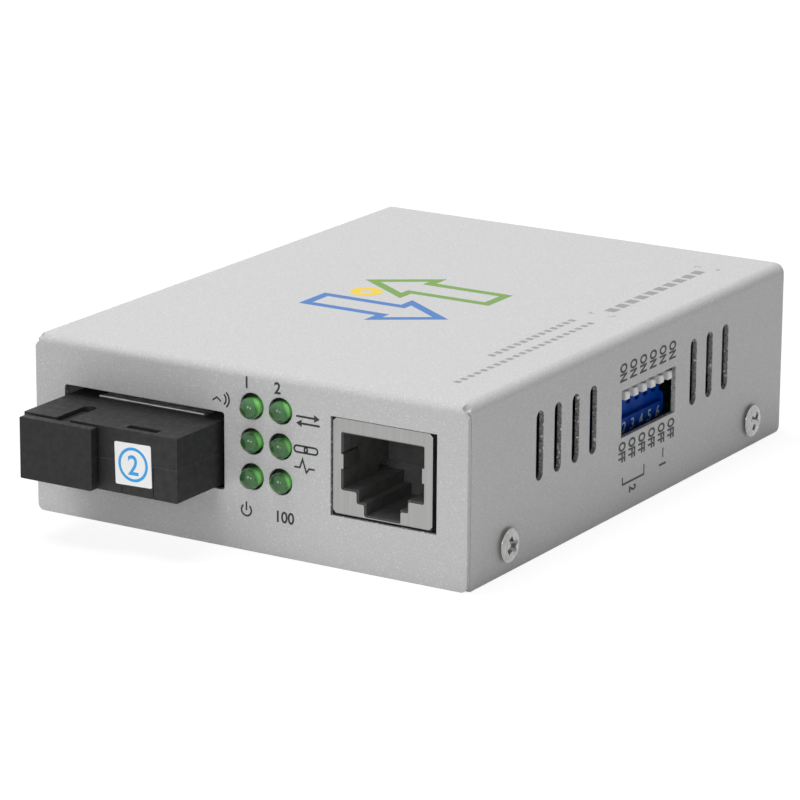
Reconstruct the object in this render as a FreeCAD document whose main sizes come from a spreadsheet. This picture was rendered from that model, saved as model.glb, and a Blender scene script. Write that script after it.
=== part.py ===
import FreeCAD, Part
import Sketcher
import os
import re

# Fibre media converter: a folded steel case round one circuit board.
# X runs across the front, seen from the front to the right; Y runs from the front to the back; Z is up.
# The origin is the centre of the case's bottom face.

Vector = FreeCAD.Vector
doc = FreeCAD.newDocument("FibreMediaConverter")

# name: (millimetres or a count, what it sets)
SIZES = {
    "caseWidth": (70.5, "outer width of the case"),
    "caseDepth": (93.0, "outer depth of the case"),
    "caseHeight": (26.0, "outer height of the case"),
    "coverSheet": (0.7, "sheet of the cover"),
    "traySheet": (1.0, "sheet of the base tray"),
    "bendRadius": (1.5, "outer radius of the folds"),
    "seamGap": (0.15, "open seam between two folded walls"),
    "fitGap": (0.15, "clearance of the tray inside the cover"),
    "reliefRadius": (0.65, "hole where three walls of the cover meet"),
    "flangeCut": (0.9, "cut corner of the front flange"),
    "cornerRadius": (1.0, "rounded lower corners of the cover's walls"),
    "trayWall": (8.0, "height of the tray's side walls"),
    "ventWidth": (2.0, "width of a vent slot"),
    "ventHeight": (9.9, "height of a vent slot"),
    "ventBase": (10.9, "lower end of the vent slots above the bottom"),
    "ventPitch": (5.0, "distance from one vent slot to the next"),
    "ventFirst": (19.2, "first vent slot behind the front"),
    "ventRear": (64.15, "first slot of the rear vents behind the front"),
    "ventsFront": (4.0, "slots of the right side before the switch"),
    "ventsRear": (3.0, "slots of the right side behind the switch"),
    "ventsLeft": (12.0, "slots of the left side"),
    "caseScrewFront": (10.6, "front case screws behind the front"),
    "caseScrewRear": (83.0, "rear case screws behind the front"),
    "caseScrewHeight": (4.0, "case screws above the bottom"),
    "screwRadius": (1.5, "thread radius of every screw"),
    "screwHead": (2.4, "head radius of every screw"),
    "screwHeadHeight": (1.3, "head height of every screw"),
    "screwLength": (4.5, "thread length of every screw"),
    "screwGap": (0.03, "clearance of a screw in its tapped hole"),
    "holeGap": (0.15, "clearance of a screw in a plain hole"),
    "standoffHeight": (5.0, "board above the tray"),
    "standoffRadius": (2.75, "radius of a standoff"),
    "spigotRadius": (2.1, "radius of a standoff's pressed foot"),
    "boardThick": (1.6, "thickness of the circuit board"),
    "boardEdge": (1.3, "board edge to the tray's side walls"),
    "boardFront": (0.9, "board edge behind the front flange"),
    "boardRear": (0.6, "board edge before the rear panel"),
    "boardScrewInset": (6.65, "board screws inside the case's sides"),
    "boardScrewNearLeft": (34.0, "front left board screw behind the front"),
    "boardScrewNearRight": (23.5, "front right board screw behind the front"),
    "boardScrewFar": (86.5, "rear board screws behind the front"),
    "leadTail": (1.2, "length of a lead below the board"),
    "leadGap": (0.12, "clearance of a lead in the board"),
    "opticsCentre": (-16.9, "optical module across the case"),
    "opticsWidth": (25.4, "width of the optical module"),
    "opticsHeight": (9.15, "height of the optical module"),
    "opticsLength": (38.5, "length of the optical module"),
    "opticsReach": (10.5, "module in front of the case"),
    "opticsLift": (1.05, "module above the board"),
    "opticsSide": (0.7, "front opening beside the module"),
    "opticsBelow": (0.55, "front opening below the module"),
    "opticsAbove": (1.35, "front opening above the module"),
    "opticsCorner": (0.4, "rounded corners of the module's front opening"),
    "opticsFoot": (1.6, "side of a square foot of the module"),
    "portCentre": (-23.0, "fibre port across the case"),
    "portWidth": (9.1, "width of the fibre port"),
    "portHeight": (7.4, "height of the fibre port"),
    "portDepth": (13.0, "depth of the fibre port"),
    "keyWidth": (2.2, "width of the port's key slot"),
    "keyLength": (7.2, "length of the port's key slot"),
    "sleeveRadius": (2.45, "outer radius of the ferrule sleeve"),
    "sleeveBore": (1.27, "bore radius of the ferrule sleeve"),
    "sleeveLength": (6.5, "ferrule sleeve in front of the port's back wall"),
    "latchCentre": (-10.7, "snap latch across the case"),
    "latchWidth": (5.2, "width of the snap latch's window"),
    "latchDepth": (1.45, "window of the snap latch along the module"),
    "latchBack": (0.95, "window of the snap latch behind the module's face"),
    "latchGap": (0.15, "slit on each side of the snap latch"),
    "latchSink": (0.9, "top of the snap latch below the module's top"),
    "plugWidth": (12.0, "width of the dust plug's plate"),
    "plugHeight": (8.8, "height of the dust plug's plate"),
    "plugPlate": (1.35, "thickness of the dust plug's plate"),
    "plugStand": (0.6, "dust plug's plate in front of the module"),
    "plugStem": (9.4, "length of the dust plug's stem in the port"),
    "plugCorner": (0.2, "rounded corners of the dust plug's plate"),
    "plugKeyDrop": (0.6, "dust plug's key below the module's top"),
    "plugGap": (0.1, "clearance of the stem in the port"),
    "plugBoreGap": (0.2, "clearance of the stem's bore round the sleeve"),
    "clipWidth": (17.6, "width of the earthing clip on the module"),
    "clipCentre": (-16.1, "earthing clip across the case"),
    "clipLength": (6.0, "length of the earthing clip"),
    "clipSheet": (0.25, "sheet of the earthing clip"),
    "clipBack": (0.3, "clip behind the front flange"),
    "opticsPins": (9.0, "pins in the module's row"),
    "pinPitch": (2.54, "distance between the module's pins"),
    "pinSide": (0.5, "side of a square pin"),
    "pinInset": (2.2, "pin row before the module's back"),
    "studRadius": (0.95, "radius of the module's two studs"),
    "studInset": (1.6, "studs inside the module's sides"),
    "studBack": (17.0, "studs behind the module's face"),
    "jackCentre": (21.8, "network socket across the case"),
    "jackWidth": (15.7, "width of the socket's shield"),
    "jackHeight": (13.45, "height of the socket's shield"),
    "jackDepth": (16.0, "depth of the socket's shield"),
    "jackLift": (0.15, "shield above the board"),
    "jackBack": (0.25, "shield behind the case's front face"),
    "jackSheet": (0.25, "sheet of the shield"),
    "jackBevel": (0.5, "cut corners of the shield"),
    "jackLeft": (0.2, "front opening left of the shield"),
    "jackRight": (0.8, "front opening right of the shield"),
    "jackBelow": (0.35, "front opening below the shield"),
    "jackAbove": (0.15, "front opening above the shield"),
    "socketWidth": (13.1, "width of the plug opening"),
    "socketTop": (1.9, "plug opening below the shield's top"),
    "socketHeight": (8.15, "height of the plug opening"),
    "socketNeck": (8.15, "width of the opening's first step"),
    "socketNeckDepth": (1.6, "height of the opening's first step"),
    "socketLatch": (5.75, "width of the latch channel"),
    "socketLatchDepth": (1.65, "height of the latch channel"),
    "socketDepth": (12.0, "depth of the plug space"),
    "socketRound": (0.3, "rounded corners of the shield's opening"),
    "socketRim": (0.2, "insert's rim inside the shield's opening"),
    "wallPortBack": (9.4, "port in the insert's left wall behind the socket's face"),
    "wallPortLength": (2.7, "length of the insert's port"),
    "wallPortHeight": (1.0, "height of the insert's port"),
    "wallPortLift": (0.35, "insert's port above the opening's floor"),
    "combBack": (2.0, "slot for the contacts behind the socket's face"),
    "combDepth": (1.6, "slot for the contacts along the socket"),
    "combDrop": (1.0, "slot for the contacts above and below the plug space's roof"),
    "contactFront": (2.5, "front of the contacts behind the socket's face"),
    "contactEntry": (0.4, "front of the contacts below the opening's top"),
    "contactReach": (9.5, "end of the contacts behind the socket's face"),
    "contactDip": (2.0, "end of the contacts below the opening's top"),
    "tabGap": (0.15, "clearance of a side spring in the insert"),
    "tabHeight": (2.1, "height of a side spring of the shield"),
    "tabDrop": (3.1, "side spring below the opening's top"),
    "tabLength": (3.6, "side spring along the socket"),
    "tabBend": (0.35, "side spring into the opening"),
    "contactCount": (8.0, "contacts of the network socket"),
    "contactPitch": (1.02, "distance between two contacts"),
    "contactWidth": (0.45, "width of a contact"),
    "contactThick": (0.3, "thickness of a contact"),
    "lampRadius": (1.5, "radius of a lamp"),
    "lampGap": (0.375, "front hole round a lamp"),
    "lampLeft": (1.08, "left lamps across the case"),
    "lampRight": (5.7, "right lamps across the case"),
    "lampBase": (10.75, "lowest lamps above the bottom"),
    "lampDrop": (5.25, "highest lamps below the top"),
    "lampDome": (0.2, "centre of a lamp's dome before the front face"),
    "lampHold": (3.5, "lamp inside its holder"),
    "holderBack": (0.6, "lamp holder behind the front flange"),
    "holderDepth": (8.0, "depth of the lamp holder"),
    "holderMargin": (2.4, "lamp holder beyond the lamps' centres"),
    "windowLength": (16.2, "length of the switch window"),
    "windowHeight": (6.9, "height of the switch window"),
    "windowBase": (11.15, "lower edge of the switch window"),
    "switchCentre": (50.6, "switch behind the front"),
    "switchCount": (6.0, "sliders of the switch"),
    "switchPitch": (2.54, "distance from one slider to the next"),
    "switchEnd": (1.75, "switch body beyond its end sliders"),
    "switchSetback": (1.85, "switch's face inside the cover's side"),
    "switchThick": (6.3, "switch body across the case"),
    "switchHeight": (12.1, "height of the switch body"),
    "switchMiddle": (16.05, "middle of the sliders' travel above the bottom"),
    "troughHeight": (6.5, "height of the switch's trough"),
    "troughDepth": (0.75, "depth of the switch's trough"),
    "troughEnd": (0.55, "switch's end walls beside its trough"),
    "switchLowerRound": (1.4, "round of the face's lower edge"),
    "switchShoulder": (0.25, "raised face ends below the sliders' slots"),
    "switchUpperRound": (0.65, "round of the face's shoulder"),
    "switchEndRound": (0.25, "round of the face's ends"),
    "switchLeadLow": (1.2, "lower leads behind the switch"),
    "switchLeadHigh": (3.74, "upper leads behind the switch"),
    "switchLeadHalf": (0.15, "half thickness of the switch's leads"),
    "sliderWidth": (1.05, "width of a slider"),
    "sliderHeight": (1.3, "height of a slider"),
    "sliderTravel": (2.0, "travel of a slider"),
    "sliderGap": (0.1, "clearance of a slider in its slot"),
    "sliderRoot": (2.2, "slider inside the body below its trough"),
    "sliderProud": (0.25, "slider beyond the cover's side"),
    "sliderRound": (0.45, "rounded tip of a slider"),
    "switchRow": (7.62, "distance between the switch's rows of leads"),
    "powerCentre": (-19.0, "power socket across the case"),
    "powerWidth": (9.0, "width of the power socket"),
    "powerHeight": (11.0, "height of the power socket"),
    "powerDepth": (14.2, "depth of the power socket"),
    "powerAxis": (6.5, "power socket's axis above the board"),
    "powerBore": (3.15, "bore radius of the power socket"),
    "powerBoreDepth": (9.5, "bore depth of the power socket"),
    "powerPin": (1.0, "radius of the power socket's pin"),
    "powerPinSink": (0.8, "pin's tip inside the power socket"),
    "powerPinRoot": (1.5, "radius of the pin's root in the power socket"),
    "powerSlot": (3.0, "width of the slot for the socket's spring"),
    "powerSlotInset": (1.0, "spring slot before the power socket's back"),
    "powerOpening": (0.25, "rear opening round the power socket"),
    "chipLift": (0.15, "chips above the board"),
    "chipLead": (0.2, "thickness of a chip's leads"),
    "chipLeadShare": (0.45, "width of a chip's lead as a share of its pitch"),
    "chipShoulder": (0.5, "level part of a chip's lead"),
    "chipFoot": (0.6, "foot of a chip's lead"),
    "converterX": (3.0, "converter chip across the case"),
    "converterY": (1.0, "converter chip along the case"),
    "converterWidth": (14.0, "width of the converter chip"),
    "converterDepth": (14.0, "depth of the converter chip"),
    "converterHeight": (1.4, "height of the converter chip"),
    "converterPitch": (0.8, "distance between the converter chip's leads"),
    "converterLeads": (16.0, "leads on a side of the converter chip"),
    "transformerX": (19.5, "line transformer across the case"),
    "transformerY": (-23.0, "line transformer along the case"),
    "transformerWidth": (12.7, "width of the line transformer"),
    "transformerDepth": (7.0, "depth of the line transformer"),
    "transformerHeight": (5.6, "height of the line transformer"),
    "transformerPitch": (1.27, "distance between the line transformer's leads"),
    "transformerLeads": (8.0, "leads on a side of the line transformer"),
    "regulatorX": (9.0, "regulator across the case"),
    "regulatorY": (31.0, "regulator along the case"),
    "regulatorWidth": (6.5, "width of the regulator"),
    "regulatorDepth": (3.5, "depth of the regulator"),
    "regulatorHeight": (1.6, "height of the regulator"),
    "regulatorPitch": (2.3, "distance between the regulator's leads"),
    "regulatorLeads": (3.0, "leads on a side of the regulator"),
    "crystalX": (-13.4, "crystal across the case"),
    "crystalY": (-4.65, "crystal along the case"),
    "crystalLength": (11.2, "length of the crystal's can"),
    "crystalWidth": (4.7, "width of the crystal's can"),
    "crystalHeight": (3.5, "height of the crystal's can"),
    "canLeft": (-6.0, "left capacitor across the case"),
    "canRight": (2.0, "right capacitor across the case"),
    "canY": (36.0, "capacitors along the case"),
    "canRadius": (3.15, "radius of a capacitor"),
    "canHeight": (7.7, "height of a capacitor"),
    "canRim": (0.5, "rolled rim of a capacitor"),
    "coilX": (17.5, "power coil across the case"),
    "coilY": (29.5, "power coil along the case"),
    "coilBase": (7.0, "side of the coil's foot"),
    "coilBaseHeight": (1.2, "height of the coil's foot"),
    "coilRadius": (3.2, "radius of the coil's drum"),
    "coilHeight": (2.6, "height of the coil's drum"),
    "smallLeft": (-24.0, "left rows of small parts across the case"),
    "smallMiddle": (-4.0, "middle row of small parts across the case"),
    "smallRight": (12.0, "right row of small parts across the case"),
    "smallFront": (-12.0, "right row of small parts along the case"),
    "smallFirst": (8.0, "first left row of small parts along the case"),
    "smallSecond": (14.0, "second left row of small parts along the case"),
    "smallBack": (18.0, "middle row of small parts along the case"),
    "smallPitch": (2.4, "distance from one small part to the next"),
    "smallLength": (1.6, "length of a small part"),
    "smallWidth": (0.8, "width of a small part"),
    "smallHeight": (0.5, "height of a small part"),
    "crimpHeight": (1.4, "crimp of a capacitor above the board"),
    "crimpDepth": (0.3, "depth of a capacitor's crimp"),
}

sheet = doc.addObject("Spreadsheet::Sheet", "Sizes")
for row, (alias, (number, meaning)) in enumerate(SIZES.items(), start=1):
    sheet.set(f"A{row}", alias)
    sheet.set(f"B{row}", str(number))
    sheet.set(f"C{row}", meaning)
    sheet.setAlias(f"B{row}", alias)
doc.recompute()

# Places that several pieces share, as formulas of the sizes.
PLACES = {
    "front": "(-caseDepth / 2)",
    "rear": "(caseDepth / 2)",
    "side": "(caseWidth / 2)",
    "flangeBack": "(-caseDepth / 2 + coverSheet)",
    "trayHalf": "(caseWidth / 2 - coverSheet - fitGap)",
    "boardBase": "(traySheet + standoffHeight)",
    "boardTop": "(traySheet + standoffHeight + boardThick)",
    "leadEnd": "(traySheet + standoffHeight - leadTail)",
    "leadReach": "(boardThick + leadTail)",
    "opticsFace": "(-caseDepth / 2 - opticsReach)",
    "opticsBase": "(traySheet + standoffHeight + boardThick + opticsLift)",
    "opticsTop": "(traySheet + standoffHeight + boardThick + opticsLift + opticsHeight)",
    "opticsSeam": "(traySheet + standoffHeight + boardThick + opticsLift + opticsHeight / 2)",
    "lampPitch": "((caseHeight - lampDrop - lampBase) / 2)",
    "jackFace": "(-caseDepth / 2 + jackBack)",
    "jackBase": "(traySheet + standoffHeight + boardThick + jackLift)",
    "jackTop": "(traySheet + standoffHeight + boardThick + jackLift + jackHeight)",
    "switchFace": "(caseWidth / 2 - switchSetback)",
    "switchBack": "(caseWidth / 2 - switchSetback - switchThick)",
    "switchMid": "(-caseDepth / 2 + switchCentre)",
    "switchHalf": "((switchCount - 1) * switchPitch / 2 + switchEnd)",
    "powerLevel": "(traySheet + standoffHeight + boardThick + powerAxis)",
    "powerInner": "(caseDepth / 2 - powerDepth)",
}


def spelled(formula):
    """Write a formula of plain names in the sheet's own terms."""
    text = re.sub(r"[A-Za-z]\w*", lambda m: PLACES.get(m.group(), m.group()), str(formula))
    return re.sub(r"[A-Za-z]\w*", lambda m: "Sizes." + m.group() if m.group() in SIZES else m.group(), text)


def value(formula):
    """The present number of a formula."""
    return float(sheet.evalExpression(spelled(formula)))


def bind(item, **formulas):
    """Tie properties of an object to formulas."""
    for path, formula in formulas.items():
        item.setExpression(path, spelled(formula))


def put(item, x, y, z):
    """Tie an object's place to three formulas."""
    for path, formula in (("Placement.Base.x", x), ("Placement.Base.y", y), ("Placement.Base.z", z)):
        item.setExpression(path, spelled(formula))
    return item


def block(name, x, y, z, width, depth, height):
    """A box from its lowest corner."""
    item = doc.addObject("Part::Box", name)
    bind(item, Length=width, Width=depth, Height=height)
    return put(item, x, y, z)


TURNS = {
    "x": FreeCAD.Rotation(Vector(0, 1, 0), 90),
    "y": FreeCAD.Rotation(Vector(1, 0, 0), -90),
    "z": FreeCAD.Rotation(),
}


def rod(name, along, x, y, z, radius, length):
    """A cylinder from its first end, along x, y or z."""
    item = doc.addObject("Part::Cylinder", name)
    item.Placement.Rotation = TURNS[along]
    bind(item, Radius=radius, Height=length)
    return put(item, x, y, z)


def ball(name, x, y, z, radius):
    item = doc.addObject("Part::Sphere", name)
    bind(item, Radius=radius)
    return put(item, x, y, z)


def cut(name, base, *tools):
    """Take one or more tools from a base."""
    item = doc.addObject("Part::Cut", name)
    item.Base = base
    item.Tool = tools[0] if len(tools) == 1 else fuse(name + "Tools", *tools)
    return item


def fuse(name, *items):
    item = doc.addObject("Part::MultiFuse", name)
    item.Shapes = list(items)
    return item


def group(name, *items):
    """Separate solids that share one node."""
    item = doc.addObject("Part::Compound", name)
    item.Links = list(items)
    return item


def rounded(name, base, radius, chosen):
    """Fillet the edges that the test picks."""
    doc.recompute()
    item = doc.addObject("Part::Fillet", name)
    item.Base = base
    size = value(radius)
    edges = enumerate(base.Shape.Edges, start=1)
    item.Edges = [(number, size, size) for number, edge in edges if chosen(edge)]
    return item


def bevelled_edges(name, base, width, chosen):
    """Cut the edges that the test picks at 45 degrees."""
    doc.recompute()
    item = doc.addObject("Part::Chamfer", name)
    item.Base = base
    size = value(width)
    edges = enumerate(base.Shape.Edges, start=1)
    item.Edges = [(number, size, size) for number, edge in edges if chosen(edge)]
    return item


PLANES = {
    "xy": FreeCAD.Rotation(),
    "xz": FreeCAD.Rotation(Vector(1, 0, 0), 90),
    "yz": FreeCAD.Rotation(Vector(1, 1, 1), 120),
}


def draw(sketch, points):
    """Close a loop of lines through points given as pairs of formulas."""
    corners = [Vector(value(a), value(b), 0) for a, b in points]
    for start, end in zip(corners, corners[1:] + corners[:1]):
        sketch.addGeometry(Part.LineSegment(start, end))
    for number, (a, b) in enumerate(points):
        before = (number - 1) % len(points)
        sketch.addConstraint(Sketcher.Constraint("Coincident", before, 2, number, 1))
        for kind, formula in (("DistanceX", a), ("DistanceY", b)):
            size = Sketcher.Constraint(kind, -1, 1, number, 1, value(formula))
            index = sketch.addConstraint(size)
            sketch.setExpression(f"Constraints[{index}]", spelled(formula))


def outline(name, plane, points):
    """A closed sketch in one of the main planes."""
    sketch = doc.addObject("Sketcher::SketchObject", name)
    sketch.Placement = FreeCAD.Placement(Vector(), PLANES[plane])
    draw(sketch, points)
    return sketch


def prism(name, plane, points, start, length):
    """Push an outline along its plane's axis, from start by length."""
    sketch = outline(name + "Outline", plane, points)
    item = doc.addObject("Part::Extrusion", name)
    item.Base = sketch
    item.DirMode = "Custom"
    axis = {"xy": "z", "xz": "y", "yz": "x"}[plane]
    item.Dir = {"x": Vector(1, 0, 0), "y": Vector(0, 1, 0), "z": Vector(0, 0, 1)}[axis]
    item.Solid = True
    bind(item, LengthFwd=length)
    sketch.setExpression(f"Placement.Base.{axis}", spelled(start))
    return item


def along(edge, axis):
    """Whether a straight edge runs along an axis."""
    first, last = edge.Vertexes[0].Point, edge.Vertexes[-1].Point
    span = last - first
    return abs(abs(span.normalize().dot(axis)) - 1) < 1e-6 if span.Length > 1e-6 else False


X, Y, Z = Vector(1, 0, 0), Vector(0, 1, 0), Vector(0, 0, 1)


def near(number, formula):
    return abs(number - value(formula)) < 1e-4


def strip(name, points, thickness, width, x):
    """A thin formed strip in the YZ plane: its middle line gets a thickness and a width centred on x."""
    half = value(thickness) / 2
    line = [Vector(0, value(a), value(b)) for a, b in points]
    sides = [[], []]
    for number, point in enumerate(line):
        runs = [line[i + 1] - line[i] for i in (number - 1, number) if 0 <= i < len(line) - 1]
        normals = [Vector(0, -run.z, run.y).normalize() for run in runs]
        normal = sum(normals, Vector()).normalize()
        reach = half / normal.dot(normals[0])
        sides[0].append(point + normal * reach)
        sides[1].append(point - normal * reach)
    loop = sides[0] + sides[1][::-1]
    face = Part.Face(Part.makePolygon(loop + loop[:1]))
    face.translate(Vector(value(x) - value(width) / 2, 0, 0))
    item = doc.addObject("Part::Feature", name)
    item.Shape = face.extrude(Vector(value(width), 0, 0))
    return item


nodes = {}


def keep(node, item):
    """Name a finished sub-part."""
    item.Label = node
    nodes[node] = item
    return item


# ---------------------------------------------------------------- case

def vent(name, wall, place):
    """A round-ended upright slot through one side wall."""
    x = "side - 2 * coverSheet" if wall == "right" else "-side - coverSheet"
    reach = "3 * coverSheet"
    middle = block(name, x, f"{place} - ventWidth / 2", "ventBase + ventWidth / 2",
                   reach, "ventWidth", "ventHeight - ventWidth")
    low = rod(name + "Low", "x", x, place, "ventBase + ventWidth / 2", "ventWidth / 2", reach)
    high = rod(name + "High", "x", x, place, "ventBase + ventHeight - ventWidth / 2", "ventWidth / 2", reach)
    return [middle, low, high]


def socket_outline(extra):
    """The stepped outline of the network socket, larger by extra on every side."""
    half, neck, latch = "socketWidth / 2", "socketNeck / 2", "socketLatch / 2"
    top = "jackTop - socketTop"
    floor = f"{top} - socketHeight"
    step = f"{floor} - socketNeckDepth"
    base = f"{step} - socketLatchDepth"
    levels = [f"{top} + ({extra})"] + [f"{level} - ({extra})" for level in (floor, step, base)]
    widths = [half, neck, latch]
    right = []
    for number, width in enumerate(widths):
        right += [(f"{width} + ({extra})", levels[number]), (f"{width} + ({extra})", levels[number + 1])]
    left = [(f"jackCentre - ({x})", z) for x, z in right[::-1]]
    return [(f"jackCentre + {x}", z) for x, z in right] + left


def make_cover():
    """Top, front flange and two sides, folded from one sheet."""
    body = doc.addObject("PartDesign::Body", "CoverSheetBody")
    planes = {plane.Role: plane for plane in body.Origin.OriginFeatures}
    sketch = body.newObject("Sketcher::SketchObject", "CoverPlan")
    sketch.AttachmentSupport = (planes["XY_Plane"], [""])
    sketch.MapMode = "FlatFace"
    draw(sketch, [("-side", "front"), ("side", "front"), ("side", "rear"), ("-side", "rear")])
    pad = body.newObject("PartDesign::Pad", "CoverBlock")
    pad.Profile = sketch
    bind(pad, Length="caseHeight")
    doc.recompute()

    def folded(edge):
        middle = edge.CenterOfMass
        return near(middle.z, "caseHeight") and not near(middle.y, "rear")

    names = [f"Edge{n}" for n, edge in enumerate(pad.Shape.Edges, start=1) if folded(edge)]
    bends = body.newObject("PartDesign::Fillet", "CoverBends")
    bends.Base = (pad, names)
    bind(bends, Radius="bendRadius")
    doc.recompute()

    def opened(face):
        middle = face.CenterOfMass
        return near(middle.z, 0) or near(middle.y, "rear")

    names = [f"Face{n}" for n, face in enumerate(bends.Shape.Faces, start=1) if opened(face)]
    shell = body.newObject("PartDesign::Thickness", "CoverWalls")
    shell.Base = (bends, names)
    shell.Reversed = True
    shell.Join = 0
    bind(shell, Value="coverSheet")
    body.Tip = shell
    doc.recompute()

    tools = []
    reach = "3 * coverSheet"
    for hand, x in (("Left", "-side - coverSheet"), ("Right", "side - 2 * coverSheet")):
        tools.append(block(f"CoverSeam{hand}", x, "flangeBack", "-coverSheet", reach, "seamGap",
                           "caseHeight + coverSheet - bendRadius + reliefRadius / 2"))
        sign = "-" if hand == "Left" else ""
        tools.append(ball(f"CoverRelief{hand}", f"{sign}(side - reliefRadius * 0.75)",
                          "front + reliefRadius * 0.75", "caseHeight - reliefRadius * 0.75", "reliefRadius"))
        top = "caseHeight - reliefRadius * 1.2"
        corner = [(f"{sign}side", top), (f"{sign}side", f"{top} - flangeCut * 1.2"),
                  (f"{sign}(side - flangeCut)", top)]
        tools.append(prism(f"FlangeCorner{hand}", "xz", corner, "front - coverSheet", "2 * coverSheet"))
        for place in ("Front", "Rear"):
            tools.append(rod(f"CoverScrewHole{hand}{place}", "x", x, f"front + caseScrew{place}",
                             "caseScrewHeight", "screwRadius + holeGap", reach))

    for number in range(int(value("ventsFront"))):
        tools += vent(f"VentFront{number}", "right", f"front + ventFirst + {number} * ventPitch")
    for number in range(int(value("ventsRear"))):
        tools += vent(f"VentRear{number}", "right", f"front + ventRear + {number} * ventPitch")
    for number in range(int(value("ventsLeft"))):
        tools += vent(f"VentLeft{number}", "left", f"front + ventFirst + {number} * ventPitch")

    tools.append(block("SwitchWindow", "side - 2 * coverSheet", "switchMid - windowLength / 2", "windowBase",
                       reach, "windowLength", "windowHeight"))
    y, depth = "front - coverSheet", reach
    optics = block("OpticsOpeningBlock", "opticsCentre - opticsWidth / 2 - opticsSide", y,
                   "opticsBase - opticsBelow", "opticsWidth + 2 * opticsSide", depth,
                   "opticsHeight + opticsBelow + opticsAbove")
    tools.append(rounded("OpticsOpening", optics, "opticsCorner", lambda edge: along(edge, Y)))
    tools.append(block("JackOpening", "jackCentre - jackWidth / 2 - jackLeft", y, "jackBase - jackBelow",
                       "jackWidth + jackLeft + jackRight", depth, "jackHeight + jackBelow + jackAbove"))
    for name, x, z in lamp_places():
        tools.append(rod(f"LampHole{name}", "y", x, y, z, "lampRadius + lampGap", depth))
    pierced = cut("CoverPierced", body, *tools)

    def lower_corner(edge):
        middle = edge.CenterOfMass
        rear_corner = along(edge, X) and near(middle.y, "rear") and near(middle.z, 0)
        flange_corner = along(edge, Y) and near(abs(middle.x), "side") and near(middle.z, 0)
        return rear_corner or (flange_corner and middle.y < value("flangeBack"))

    return keep("cover", rounded("CoverFinished", pierced, "cornerRadius", lower_corner))


def lamp_places():
    """Each lamp's name and its place on the front, from the top left."""
    for level in (2, 1, 0):
        for hand, x in (("Left", "lampLeft"), ("Right", "lampRight")):
            yield f"{hand}{level}", x, f"lampBase + {level} * lampPitch"


def make_tray():
    """Floor, two low side walls and the rear panel, folded from one sheet."""
    front_edge = "flangeBack + fitGap"
    top = "caseHeight - coverSheet - fitGap"
    outer = block("TrayBlock", "-trayHalf", front_edge, 0, "2 * trayHalf", f"rear - ({front_edge})", top)

    def fold(edge):
        middle = edge.CenterOfMass
        upper_side = near(middle.z, top) and along(edge, Y)
        return upper_side or (near(middle.z, 0) and not near(middle.y, front_edge))

    def inner_fold(edge):
        middle = edge.CenterOfMass
        return near(middle.z, "traySheet") and not near(middle.y, f"{front_edge} - traySheet")

    outside = rounded("TrayOutside", outer, "bendRadius", fold)
    space = block("TraySpace", "-trayHalf + traySheet", f"{front_edge} - traySheet", "traySheet",
                  "2 * (trayHalf - traySheet)", f"rear - ({front_edge})", "caseHeight")
    inside = rounded("TrayInside", space, "bendRadius - traySheet", inner_fold)
    tools = [inside]
    for hand, x in (("Left", "-side"), ("Right", "trayHalf - traySheet - seamGap")):
        width = "side - trayHalf + traySheet + seamGap"
        tools.append(block(f"TraySideTop{hand}", x, "front", "trayWall", width,
                           "rear - front - traySheet - seamGap", "caseHeight"))
        tools.append(block(f"TraySeam{hand}", x, "rear - traySheet - seamGap", "bendRadius", width,
                           "seamGap", "caseHeight"))
        for place in ("Front", "Rear"):
            tools.append(rod(f"TrayScrewHole{hand}{place}", "x", x, f"front + caseScrew{place}",
                             "caseScrewHeight", "screwRadius + screwGap", width))
    for name, x, y in board_screw_places():
        tools.append(rod(f"TrayStandoffHole{name}", "z", x, y, "-traySheet", "spigotRadius", "3 * traySheet"))
    tools.append(block("PowerOpening", "powerCentre - powerWidth / 2 - powerOpening", "rear - 2 * traySheet",
                       "boardTop - powerOpening", "powerWidth + 2 * powerOpening", "3 * traySheet",
                       "powerHeight + 2 * powerOpening"))
    return keep("base_tray", cut("TrayFinished", outside, *tools))


def board_screw_places():
    """Name and place of each screw that holds the board."""
    yield "NearLeft", "-(side - boardScrewInset)", "front + boardScrewNearLeft"
    yield "NearRight", "side - boardScrewInset", "front + boardScrewNearRight"
    yield "FarLeft", "-(side - boardScrewInset)", "front + boardScrewFar"
    yield "FarRight", "side - boardScrewInset", "front + boardScrewFar"


def make_standoffs():
    """Round pillars pressed into the tray's floor, tapped for the board screws."""
    pillars = []
    for name, x, y in board_screw_places():
        pillar = rod(f"Pillar{name}", "z", x, y, "traySheet", "standoffRadius", "standoffHeight")
        foot = rod(f"PillarFoot{name}", "z", x, y, 0, "spigotRadius", "traySheet")
        thread = rod(f"PillarThread{name}", "z", x, y, "traySheet / 2", "screwRadius + screwGap", "caseHeight / 2")
        pillars.append(cut(f"Standoff{name}", fuse(f"PillarBlank{name}", pillar, foot), thread))
    return keep("standoffs", group("Standoffs", *pillars))


def screw(name, along_axis, x, y, z, outward):
    """A pan head screw whose head seats at x, y, z and points along +axis or -axis."""
    places = {"x": 0, "y": 1, "z": 2}
    seat = [x, y, z]
    start = list(seat)
    tip = list(seat)
    index = places[along_axis]
    start[index] = f"({seat[index]})" if outward > 0 else f"({seat[index]}) - screwHeadHeight"
    tip[index] = f"({seat[index]}) - screwLength" if outward > 0 else f"({seat[index]})"
    head = rod(name + "Head", along_axis, *start, "screwHead", "screwHeadHeight")
    face = value(f"({seat[index]}) + {outward} * screwHeadHeight")

    def rim(edge):
        middle = (edge.CenterOfMass.x, edge.CenterOfMass.y, edge.CenterOfMass.z)[index]
        return edge.Curve.TypeId == "Part::GeomCircle" and abs(middle - face) < 1e-4

    domed = rounded(name + "Dome", head, "screwHeadHeight * 0.6", rim)
    thread = rod(name + "Thread", along_axis, *tip, "screwRadius", "screwLength")
    return fuse(name, domed, thread)


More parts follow.
